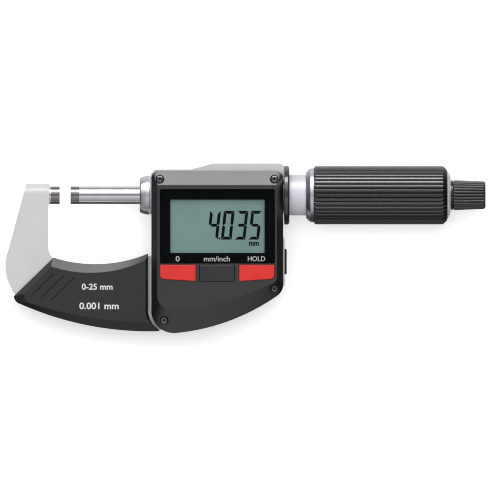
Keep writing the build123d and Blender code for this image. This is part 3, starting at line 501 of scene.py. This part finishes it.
def newTree(name, inputs):
    tree = bpy.data.node_groups.new(name, "GeometryNodeTree")
    tree.interface.new_socket("Geometry", in_out="INPUT", socket_type="NodeSocketGeometry")
    for label, kind in inputs:
        tree.interface.new_socket(label, in_out="INPUT", socket_type="NodeSocket" + kind)
    tree.interface.new_socket("Geometry", in_out="OUTPUT", socket_type="NodeSocketGeometry")
    return tree, tree.nodes.new("NodeGroupInput"), tree.nodes.new("NodeGroupOutput")


# Runs a tree on a mesh and hands back the plain mesh it makes
def runTree(tree, mesh, values):
    holder = bpy.data.objects.new("treeHolder", mesh)
    bpy.context.scene.collection.objects.link(holder)
    modifier = holder.modifiers.new("tree", "NODES")
    modifier.node_group = tree
    for item in tree.interface.items_tree:
        if item.name in values and item.in_out == "INPUT":
            modifier[item.identifier] = values[item.name]
    graph = bpy.context.evaluated_depsgraph_get()
    made = bpy.data.meshes.new_from_object(holder.evaluated_get(graph), depsgraph=graph)
    holder.modifiers.remove(modifier)
    bpy.data.objects.remove(holder)
    return made


# Ribbed grip and ratchet knob: one rib's sector, repeated round the measuring axis

def ribTree():
    inputs = [("Rib Count", "Int"), ("Weld", "Float"), ("Finish", "Material")]
    tree, start, end = newTree("ribsRoundAxis", inputs)
    points = tree.nodes.new("GeometryNodePoints")
    place = tree.nodes.new("GeometryNodeInstanceOnPoints")
    index = tree.nodes.new("GeometryNodeInputIndex")
    step = tree.nodes.new("ShaderNodeMath")
    step.operation = "DIVIDE"
    step.inputs[0].default_value = 2 * math.pi
    turn = tree.nodes.new("ShaderNodeMath")
    turn.operation = "MULTIPLY"
    vector = tree.nodes.new("ShaderNodeCombineXYZ")
    spin = tree.nodes.new("FunctionNodeEulerToRotation")
    realize = tree.nodes.new("GeometryNodeRealizeInstances")
    weld = tree.nodes.new("GeometryNodeMergeByDistance")
    paint = tree.nodes.new("GeometryNodeSetMaterial")
    tree.links.new(start.outputs["Rib Count"], points.inputs["Count"])
    tree.links.new(start.outputs["Rib Count"], step.inputs[1])
    tree.links.new(index.outputs[0], turn.inputs[0])
    tree.links.new(step.outputs[0], turn.inputs[1])
    tree.links.new(turn.outputs[0], vector.inputs["X"])
    tree.links.new(vector.outputs[0], spin.inputs[0])
    tree.links.new(points.outputs[0], place.inputs["Points"])
    tree.links.new(start.outputs["Geometry"], place.inputs["Instance"])
    tree.links.new(spin.outputs[0], place.inputs["Rotation"])
    tree.links.new(place.outputs[0], realize.inputs[0])
    tree.links.new(realize.outputs[0], weld.inputs["Geometry"])
    tree.links.new(start.outputs["Weld"], weld.inputs["Distance"])
    tree.links.new(weld.outputs[0], paint.inputs["Geometry"])
    tree.links.new(start.outputs["Finish"], paint.inputs["Material"])
    tree.links.new(paint.outputs[0], end.inputs["Geometry"])
    return tree


weldReach = 2e-6      # m, joins corners that meet, as those of neighbouring ribs

# half of a rib's section: share of the half pitch, share of the rib's height there
gripSection = [(0.15, 1), (0.42, 0.99), (0.56, 0.93), (0.66, 0.76), (0.78, 0.42), (0.9, 0.14), (1, 0)]
knobSection = [(0.12, 1), (0.28, 0.95), (0.42, 0.8), (0.55, 0.55), (0.7, 0.28), (0.85, 0.08), (1, 0)]


# One pitch of a ribbed sleeve. Stations go round its closed section lengthwise:
# place along X, radius in the groove and rib height, in mm
def ribSector(stations, ribs, half):
    mesh = bpy.data.meshes.new("ribSector")
    section = [(-part, share) for part, share in reversed(half)] + half
    halfPitch = math.pi / ribs
    rows = []
    corners = []
    for x, radius, height in stations:
        row = []
        for part, share in section:
            angle = part * halfPitch
            reach = (radius + height * share) * mm
            row.append(len(corners))
            corners.append((x * mm, reach * math.sin(angle), reach * math.cos(angle)))
        rows.append(row)
    faces = []
    for row, following in zip(rows, rows[1:] + rows[:1]):
        for column in range(len(section) - 1):
            faces.append((row[column], row[column + 1], following[column + 1], following[column]))
    mesh.from_pydata(corners, [], faces)
    return mesh


# Stations of a rib's rounded end: from the groove's floor up to the full rib over length mm
def ribEnd(x, length, radius, height, steps=5):
    stations = []
    for step in range(steps + 1):
        share = step / steps
        rise = math.sqrt(1 - (1 - share) ** 2)
        stations.append((x + length * share, radius, height * rise))
    return stations


gripLook = {
    "ribs": 40,
    "ribHeight": 0.55,
    "frontEdge": (0.12, 0.25),     # chamfer at the front, along and inwards
    "frontRing": 0.22,             # plain ring before the ribs
    "endRound": 0.75,              # length of a rib's rounded front end
    "holds": (12, 0.5),            # rings that keep the ribs straight before the bevel
    "bevelEase": (0.02, 0.04),     # start of the bevel: fall of the groove and of the rib
    "rearBevel": 1.7,
    "bevelSteps": 6,
    "grooveFall": 0.85,            # groove's fall along the bevel
    "ribLift": 0.3,
    "tip": (0.04, 0.12),           # rim at the very end
    "overhang": 0.8,               # length that laps over the end cap's cone
    "coneFall": 0.68,              # fall of the cone under it
}


def makeGrip(tree, look):
    low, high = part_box("thimble_grip")
    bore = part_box("thimble_end_cap")[1].z / mm      # the cap's rim is as wide as the thimble's tube
    start, stop, outer = low.x / mm, high.x / mm, high.z / mm
    full = look["ribHeight"]
    floor = outer - full
    ribStart = start + look["frontRing"]
    bevelStart = stop - look["rearBevel"]
    edgeAlong, edgeIn = look["frontEdge"]
    stations = [(stop, bore - look["coneFall"], 0), (stop - look["overhang"], bore, 0),
                (start, bore, 0), (start, floor - edgeIn, 0), (start + edgeAlong, floor, 0)]
    stations += ribEnd(ribStart, look["endRound"], floor, full)
    for back in look["holds"]:
        stations.append((bevelStart - back, floor, full))
    stations.append((bevelStart, floor - look["bevelEase"][0], full - look["bevelEase"][1]))
    for step in range(1, look["bevelSteps"]):
        share = step / look["bevelSteps"]
        drop = look["rearBevel"] * share
        height = full * math.sqrt(1 - share ** 2)
        radius = floor - drop * look["grooveFall"] + (full - height) * look["ribLift"]
        stations.append((bevelStart + drop, radius, height))
    tipAlong, tipOut = look["tip"]
    stations.append((stop - tipAlong, bore - look["coneFall"] + tipOut, 0))
    sector = ribSector(stations, look["ribs"], gripSection)
    values = {"Rib Count": look["ribs"], "Weld": weldReach, "Finish": finishes["gripPlastic"]}
    mesh = closeMesh(runTree(tree, sector, values))
    linkPiece("thimbleGripRibs", mesh, "gripPlastic", "spindle_group", ["thimble_grip"])


knobLook = {
    "ribs": 28,
    "ribHeight": 0.5,
    "collar": 0.85,                # plain collar before the ribs
    "collarEdge": [(0, 0.35), (0.12, 0.12), (0.35, 0.03)],    # its rounding, along and inwards
    "collarEnd": (0.35, 0.1, 0.12),                           # step down to the grooves
    "collarGap": 0.2,              # from the end cap
    "endRound": 0.6,               # length of a rib's rounded end
    "endSteps": 4,
    "taper": 0.5,
    "axle": 2.05,                  # bore of the axle's screw
    "neckRadius": 3.5,
    "recess": 4.2,                 # depth of the screw's recess in the end
    "recessRadius": 3.0,
    "recessEdge": (0.2, 0.25),
    "hold": 0.7,                   # ring that keeps the ribs straight before the edge
    "edge": 0.8,                   # rounding of the far edge
    "grooveFall": 0.8,
    "ribLift": 0.5,
}


def makeKnob(tree, look):
    low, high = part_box("ratchet_knob")
    neck, stop, outer = low.x / mm, high.x / mm, high.z / mm
    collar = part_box("thimble_end_cap")[1].x / mm + look["collarGap"]
    full, steps = look["ribHeight"], look["endSteps"]
    floor = outer - full
    recessFloor = stop - look["recess"]
    ribStart = collar + look["collar"]
    ribStop = stop - look["edge"]
    slope = look["taper"] / (stop - collar)
    stations = [(recessFloor, look["recessRadius"], 0), (recessFloor, look["axle"], 0),
                (neck, look["axle"], 0), (neck, look["neckRadius"], 0), (collar, look["neckRadius"], 0)]
    for along, inwards in look["collarEdge"]:
        stations.append((collar + along, outer - inwards, 0))
    before, after, proud = look["collarEnd"]
    stations.append((ribStart - before, outer - slope * look["collar"], 0))
    stations.append((ribStart - after, floor + proud, 0))
    for x, radius, height in ribEnd(ribStart, look["endRound"], floor, full, steps):
        stations.append((x, radius - slope * (x - collar), height))
    hold = ribStop - look["hold"]
    stations.append((hold, floor - slope * (hold - collar), full))
    for step in range(steps + 1):
        turn = step / steps * math.pi / 2
        x = ribStop + look["edge"] * math.sin(turn)
        fall = look["edge"] * (1 - math.cos(turn)) * look["grooveFall"]
        height = full * (1 - step / steps)
        radius = floor - slope * (x - collar) - fall + (full - height) * look["ribLift"]
        stations.append((x, radius, height))
    edgeAlong, edgeOut = look["recessEdge"]
    stations.append((stop, look["recessRadius"] + edgeOut, 0))
    stations.append((stop - edgeAlong, look["recessRadius"], 0))
    sector = ribSector(stations, look["ribs"], knobSection)
    values = {"Rib Count": look["ribs"], "Weld": weldReach, "Finish": finishes["gripPlastic"]}
    mesh = closeMesh(runTree(tree, sector, values))
    linkPiece("ratchetKnobRibs", mesh, "gripPlastic", "ratchet_group", ["ratchet_knob"])


# Cover screws: pan heads with a six-lobed drive, set at the CAD screws' places

def screwTree():
    inputs = [("Screw", "Object"), ("Tilt", "Float"), ("Turn Seed", "Int"), ("Finish", "Material")]
    tree, start, end = newTree("screwsAtPlaces", inputs)
    source = tree.nodes.new("GeometryNodeObjectInfo")
    place = tree.nodes.new("GeometryNodeInstanceOnPoints")
    chance = tree.nodes.new("FunctionNodeRandomValue")
    chance.inputs[3].default_value = 2 * math.pi
    vector = tree.nodes.new("ShaderNodeCombineXYZ")
    spin = tree.nodes.new("FunctionNodeEulerToRotation")
    realize = tree.nodes.new("GeometryNodeRealizeInstances")
    paint = tree.nodes.new("GeometryNodeSetMaterial")
    tree.links.new(start.outputs["Screw"], source.inputs["Object"])
    tree.links.new(start.outputs["Geometry"], place.inputs["Points"])
    tree.links.new(source.outputs["Geometry"], place.inputs["Instance"])
    tree.links.new(start.outputs["Turn Seed"], chance.inputs["Seed"])
    tree.links.new(start.outputs["Tilt"], vector.inputs["X"])
    tree.links.new(chance.outputs[1], vector.inputs["Z"])
    tree.links.new(vector.outputs[0], spin.inputs[0])
    tree.links.new(spin.outputs[0], place.inputs["Rotation"])
    tree.links.new(place.outputs[0], realize.inputs[0])
    tree.links.new(realize.outputs[0], paint.inputs["Geometry"])
    tree.links.new(start.outputs["Finish"], paint.inputs["Material"])
    tree.links.new(paint.outputs[0], end.inputs["Geometry"])
    return tree


screwLook = {
    "headRadius": 1.4,
    "headHeight": 1.3,
    "headEdge": [(0.42, 0), (0.2, 0.09), (0.06, 0.28), (0, 0.5)],    # its rounding, in and down
    "shaftRadius": 0.8,
    "threadDepth": 0.1,
    "pitch": 0.4,
    "driveRadius": 0.66,
    "driveDepth": 0.45,
    "driveCone": (0.6, 0.2),       # pointed floor of the drive, at its middle and half way
    "driveEdge": (0.05, 0.08),
    "lobe": 0.2,
    "pointRadius": 0.35,
    "pointLength": 0.3,
    "threadEnd": 0.9,              # length at the point that starts no further turn
    "sides": 36,
    "levelReach": 0.05,            # how far from the top a corner still belongs to a head
    "apart": 4,                    # least distance between two screws
}


# A screw whose head's top is at the origin and whose shaft runs down Z
def screwMesh(length, look):
    head, drive, foot = look["headRadius"], look["driveRadius"], look["driveDepth"]
    middle, halfWay = look["driveCone"]
    edgeOut, edgeDown = look["driveEdge"]
    shaft, pitch = look["shaftRadius"], look["pitch"]
    root = shaft - look["threadDepth"]
    # radius, height, and whether the drive's lobes shape it
    section = [(0, -foot - middle, 0), (drive * 0.5, -foot - halfWay, 1), (drive, -foot, 1),
               (drive, -edgeDown, 1), (drive + edgeOut, 0, 1)]
    section += [(head - inwards, -down, 0) for inwards, down in look["headEdge"]]
    section += [(head, -look["headHeight"], 0), (shaft, -look["headHeight"], 0)]
    depth = look["headHeight"] + pitch / 2
    while depth < length - look["threadEnd"]:
        section.append((shaft, -depth, 0))
        section.append((root, -depth - pitch / 2, 0))
        depth += pitch
    section += [(root, -length + look["pointLength"], 0), (look["pointRadius"], -length, 0),
                (0, -length, 0)]
    corners, faces = [], []
    sides = look["sides"]
    for radius, z, lobed in section:
        for side in range(sides):
            angle = 2 * math.pi * side / sides
            reach = radius * (1 + look["lobe"] * lobed * math.cos(6 * angle))
            corners.append((reach * math.cos(angle) * mm, reach * math.sin(angle) * mm, z * mm))
    for row in range(len(section) - 1):
        for side in range(sides):
            following = (side + 1) % sides
            faces.append((row * sides + side, row * sides + following,
                          (row + 1) * sides + following, (row + 1) * sides + side))
    mesh = bpy.data.meshes.new("screw")
    mesh.from_pydata(corners, [], faces)
    return closeMesh(mesh)


# Middle of each screw of a CAD node, at the height of its head's top
def screwPlaces(node, level, look):
    found = []
    for corner in (vertex.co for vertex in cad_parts[node].data.vertices):
        if abs(corner.z - level) > look["levelReach"] * mm:
            continue
        near = [group for group in found if (group[0] - corner).length < look["apart"] * mm]
        if near:
            near[0].append(corner.copy())
        else:
            found.append([corner.copy()])
    places = []
    for group in found:
        low = [min(point[axis] for point in group) for axis in range(3)]
        high = [max(point[axis] for point in group) for axis in range(3)]
        places.append(tuple((a + b) / 2 for a, b in zip(low, high)))
    return places


def makeScrews(tree, node, name, facesDown, seed):
    low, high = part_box(node)
    level = low.z if facesDown else high.z
    length = (high.z - low.z) / mm
    model = bpy.data.objects.new("screwModel", screwMesh(length, screwLook))
    bpy.context.scene.collection.objects.link(model)
    points = bpy.data.meshes.new("screwPlaces")
    points.from_pydata(screwPlaces(node, level, screwLook), [], [])
    values = {"Screw": model, "Tilt": math.pi if facesDown else 0.0, "Turn Seed": seed,
              "Finish": finishes["blackSteel"]}
    mesh = runTree(tree, points, values)
    bpy.data.objects.remove(model)
    for polygon in mesh.polygons:
        polygon.use_smooth = True
    mesh.set_sharp_from_angle(angle=sharpFrom)
    linkPiece(name, mesh, "blackSteel", "frame_group", [node])


# Outlines and plates

# Rounded rectangle, anticlockwise, in mm
def roundedBox(left, foot, right, top, corner, steps=5):
    points = []
    middles = [(right - corner, foot + corner, -90), (right - corner, top - corner, 0),
               (left + corner, top - corner, 90), (left + corner, foot + corner, 180)]
    for x, y, first in middles:
        for step in range(steps + 1):
            angle = math.radians(first + 90 * step / steps)
            points.append((x + corner * math.cos(angle), y + corner * math.sin(angle)))
    return points


# Closed plate from rings of points: (outline, height in mm), foot to top
def stackMesh(name, rings):
    corners, faces = [], []
    count = len(rings[0][0])
    for outline, z in rings:
        corners += [(x * mm, y * mm, z * mm) for x, y in outline]
    for row in range(len(rings) - 1):
        for side in range(count):
            following = (side + 1) % count
            faces.append((row * count + side, row * count + following,
                          (row + 1) * count + following, (row + 1) * count + side))
    faces.append(tuple(reversed(range(count))))
    faces.append(tuple(range((len(rings) - 1) * count, len(rings) * count)))
    mesh = bpy.data.meshes.new(name)
    mesh.from_pydata(corners, [], faces)
    return closeMesh(mesh)


# Flat frame between two outlines of as many points
def ringMesh(name, outer, inner, low, high):
    corners, faces = [], []
    count = len(outer)
    loops = [(outer, low), (outer, high), (inner, high), (inner, low)]
    for outline, z in loops:
        corners += [(x * mm, y * mm, z * mm) for x, y in outline]
    for row in range(4):
        for side in range(count):
            following = (side + 1) % count
            below = (row + 1) % 4
            faces.append((row * count + side, row * count + following,
                          below * count + following, below * count + side))
    mesh = bpy.data.meshes.new(name)
    mesh.from_pydata(corners, [], faces)
    return closeMesh(mesh)


# Softened shells: copies of the CAD nodes whose sharp edges are rounded in the mesh.
# node: edge radius in mm, body it rides on, material slot
softLook = {
    "frame": (0.5, "frame_group", "lacquer"),
    "front_cover": (0.35, "frame_group", "black_shell"),
    "rear_cover": (0.35, "frame_group", "black_shell"),
    "front_insulator": (0.25, "frame_group", "dark_plate"),
    "rear_insulator": (0.25, "frame_group", "dark_plate"),
    "zero_button": (0.3, "zero_button_body", "button_red"),
    "unit_button": (0.3, "unit_button_body", "button_black"),
    "hold_button": (0.3, "hold_button_body", "button_red"),
    "battery_lid": (0.25, "battery_lid_body", "black_shell"),
    "port_cap": (0.15, "port_cap_body", "rubber_black"),
}


roundFrom = math.radians(19)      # sharper edges are rounded
flatBelow = math.radians(0.4)     # flatter edges are dropped before that


def softenNode(node, radius, body, slotName):
    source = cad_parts[node]
    work = bmesh.new()
    work.from_mesh(source.data)
    bmesh.ops.remove_doubles(work, verts=work.verts, dist=weldReach)
    bmesh.ops.dissolve_degenerate(work, edges=work.edges, dist=weldReach)
    bmesh.ops.dissolve_limit(work, angle_limit=flatBelow, verts=work.verts, edges=work.edges)
    for face in work.faces:
        face.smooth = True
    mesh = bpy.data.meshes.new(node + "Soft")
    work.to_mesh(mesh)
    work.free()
    holder = bpy.data.objects.new("softHolder", mesh)
    bpy.context.scene.collection.objects.link(holder)
    bevel = holder.modifiers.new("edges", "BEVEL")
    bevel.width = radius * mm
    bevel.segments = 3
    bevel.limit_method = "ANGLE"
    bevel.angle_limit = roundFrom
    bevel.use_clamp_overlap = True
    evenNormals = holder.modifiers.new("normals", "WEIGHTED_NORMAL")
    evenNormals.weight = 100
    graph = bpy.context.evaluated_depsgraph_get()
    soft = bpy.data.meshes.new_from_object(holder.evaluated_get(graph), depsgraph=graph)
    bpy.data.objects.remove(holder)
    work = bmesh.new()
    work.from_mesh(soft)
    loose = sum(1 for edge in work.edges if not edge.is_manifold)
    print("softened", node, len(soft.polygons), "faces", loose, "open edges")
    work.free()
    linkPiece(node + "Shell", soft, nodeFinishes[node], body, [node])


# Display window: clear plate over a printed black border

windowLook = {
    "corner": 0.6,
    "edge": 0.15,
    "ink": 0.25,           # thickness of the border
    "inkGap": 0.08,        # under the clear plate
    "openCorner": 0.35,    # the border's opening: its corners and the margins round it
    "openSide": 3.75,
    "openTop": 3.85,
    "openFoot": 3.9,
}


def makeWindow(look):
    low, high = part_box("display_window")
    left, foot, right, top = low.x / mm, low.y / mm, high.x / mm, high.y / mm
    under, over = low.z / mm, high.z / mm
    glassFoot = under + look["ink"] + look["inkGap"]
    outer = roundedBox(left, foot, right, top, look["corner"])
    opening = roundedBox(left + look["openSide"], foot + look["openFoot"], right - look["openSide"],
                         top - look["openTop"], look["openCorner"])
    inset = roundedBox(left + look["edge"], foot + look["edge"], right - look["edge"], top - look["edge"],
                       look["corner"] - look["edge"] * 0.5)
    glass = stackMesh("windowPlate", [(outer, glassFoot), (outer, over - look["edge"]), (inset, over)])
    border = ringMesh("windowBorder", outer, opening, under, under + look["ink"])
    linkPiece("windowPlate", glass, "windowGlass", "frame_group", ["display_window"])
    linkPiece("windowBorder", border, "borderInk", "frame_group")
    return under + look["ink"]


# Lettering stretched to size; weight thickens its strokes
def letteringMesh(text, middle, size, level, depth, weight):
    curve = bpy.data.curves.new("lettering", "FONT")
    curve.body = text
    curve.extrude = 0.5     # to each side of the outline
    curve.offset = weight
    holder = bpy.data.objects.new("lettering", curve)
    bpy.context.scene.collection.objects.link(holder)
    graph = bpy.context.evaluated_depsgraph_get()
    mesh = bpy.data.meshes.new_from_object(holder.evaluated_get(graph), depsgraph=graph)
    bpy.data.objects.remove(holder)
    columns = list(zip(*(vertex.co for vertex in mesh.vertices)))
    lowX, highX, lowY, highY = min(columns[0]), max(columns[0]), min(columns[1]), max(columns[1])
    for vertex in mesh.vertices:
        x, y, z = vertex.co
        vertex.co = ((middle[0] + ((x - lowX) / (highX - lowX) - 0.5) * size[0]) * mm,
                     (middle[1] + ((y - lowY) / (highY - lowY) - 0.5) * size[1]) * mm,
                     (level + (z + 0.5) * depth) * mm)
    return closeMesh(mesh)


# piece: text, its middle and size in mm
labelLook = {
    "zeroLabel": ("0", (43.7, -23.55), (1.45, 1.95)),
    "unitLabel": ("mm/inch", (58.2, -23.55), (9.6, 1.95)),
    "holdLabel": ("HOLD", (72.9, -23.55), (6.4, 1.85)),
}
labelPrint = {"lift": 0.01, "depth": 0.03, "weight": 0.004}


plateTextLook = {
    "rangeMark": ("0-25 mm", (13.9, -33.9), (11.4, 2.3)),
    "stepMark": ("0.001 mm", (14.6, -41.0), (14.6, 2.5)),
}
platePrint = {"lift": -0.01, "depth": 0.04, "weight": 0.02}


def makeText(look, ink, level, inkLook):
    for name, (text, middle, size) in look.items():
        mesh = letteringMesh(text, middle, size, level + inkLook["lift"], inkLook["depth"],
                             inkLook["weight"])
        linkPiece(name, mesh, ink, "frame_group")


# Digits of the display

digitLook = {
    "reading": "4.035",
    "width": 4.0,
    "height": 10.65,
    "stroke": 1.1,
    "gap": 0.07,
    "nick": 0.4,                   # slant of the bars' inner ends
    "pitch": 5.08,
    "lean": 0.107,
    "right": 73.85,
    "foot": -16.45,
    "lift": 0.005,                 # over the panel
    "depth": 0.03,
    "dotSize": 0.84,
    "dotGap": 0.1,
    "unit": "mm",
    "unitMiddle": (71.95, -18.05),
    "unitSize": (3.7, 1.5),
    "unitWeight": 0.04,
}

# bars lit for each figure: a top, b c right, d foot, e f left, g middle
litBars = {"0": "abcdef", "1": "bc", "2": "abged", "3": "abgcd", "4": "fgbc", "5": "afgcd",
           "6": "afgedc", "7": "abc", "8": "abcdefg", "9": "abcdfg"}


def barOutline(bar, look):
    w, h, t, g = look["width"], look["height"], look["stroke"], look["gap"]
    half, middle = t / 2, h / 2
    top = [(g, h), (w - g, h), (w - t - g, h - t), (t + g, h - t)]
    centre = [(half + g, middle), (t + g, middle + half), (w - t - g, middle + half),
              (w - half - g, middle), (w - t - g, middle - half), (t + g, middle - half)]
    upperLeft = [(0, h - g), (t, h - t - g), (t, middle + half + g), (half, middle + g),
                 (0, middle + half * look["nick"] + g)]
    shapes = {"a": top, "d": [(x, h - y) for x, y in top], "g": centre, "f": upperLeft,
              "b": [(w - x, y) for x, y in upperLeft], "e": [(x, h - y) for x, y in upperLeft],
              "c": [(w - x, h - y) for x, y in upperLeft]}
    return shapes[bar]


def makeDigits(look):
    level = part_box("lcd_panel")[1].z / mm
    figures = [figure for figure in look["reading"] if figure != "."]
    work = bmesh.new()

    def addShape(points, left):
        rings = []
        for z in (level + look["lift"], level + look["lift"] + look["depth"]):
            ring = [work.verts.new(((left + x + y * look["lean"]) * mm, (look["foot"] + y) * mm, z * mm))
                    for x, y in points]
            rings.append(ring)
        lowRing, highRing = rings
        work.faces.new(highRing)
        work.faces.new(list(reversed(lowRing)))
        for place in range(len(points)):
            after = (place + 1) % len(points)
            work.faces.new((lowRing[place], lowRing[after], highRing[after], highRing[place]))

    for place, figure in enumerate(figures):
        left = look["right"] - look["width"] - look["pitch"] * (len(figures) - 1 - place)
        for bar in litBars[figure]:
            addShape(barOutline(bar, look), left)
    dotAfter = look["reading"].index(".")
    left = look["right"] - look["width"] - look["pitch"] * (len(figures) - dotAfter) + look["width"]
    size, half = look["dotSize"], look["dotSize"] / 2
    addShape([(0.0, half), (half, 0), (size, half), (half, size)], left + look["dotGap"])
    bmesh.ops.recalc_face_normals(work, faces=work.faces)
    mesh = bpy.data.meshes.new("displayDigits")
    work.to_mesh(mesh)
    work.free()
    linkPiece("displayDigits", mesh, "digitInk", "frame_group")
    unit = letteringMesh(look["unit"], look["unitMiddle"], look["unitSize"], level + look["lift"],
                         look["depth"], look["unitWeight"])
    linkPiece("displayUnit", unit, "digitInk", "frame_group")


makeCamera(cameraLook)
makeWorld(studioLook)
makeSoftboxes(softboxes)
makeFloor(studioLook)
bpy.context.scene.view_settings.view_transform = "Standard"
bpy.context.scene.cycles.filter_width = 1.1     # crisp small print
print("studio ready")

finishes = makeFinishes()
dressNodes(finishes)
print("finishes ready:", len(finishes))

ribs = ribTree()
makeGrip(ribs, gripLook)
makeKnob(ribs, knobLook)
print("grip and knob ribbed")

screws = screwTree()
makeScrews(screws, "cover_screws", "frontCoverScrews", False, 3)
makeScrews(screws, "rear_screws", "rearCoverScrews", True, 8)
print("screws set")

for node, look in softLook.items():
    softenNode(node, *look)
print("shells softened")

borderTop = makeWindow(windowLook)
makeText(labelLook, "labelInk", borderTop, labelPrint)
makeDigits(digitLook)
makeText(plateTextLook, "whiteInk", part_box("front_insulator")[1].z / mm, platePrint)
print("window, labels and digits made")
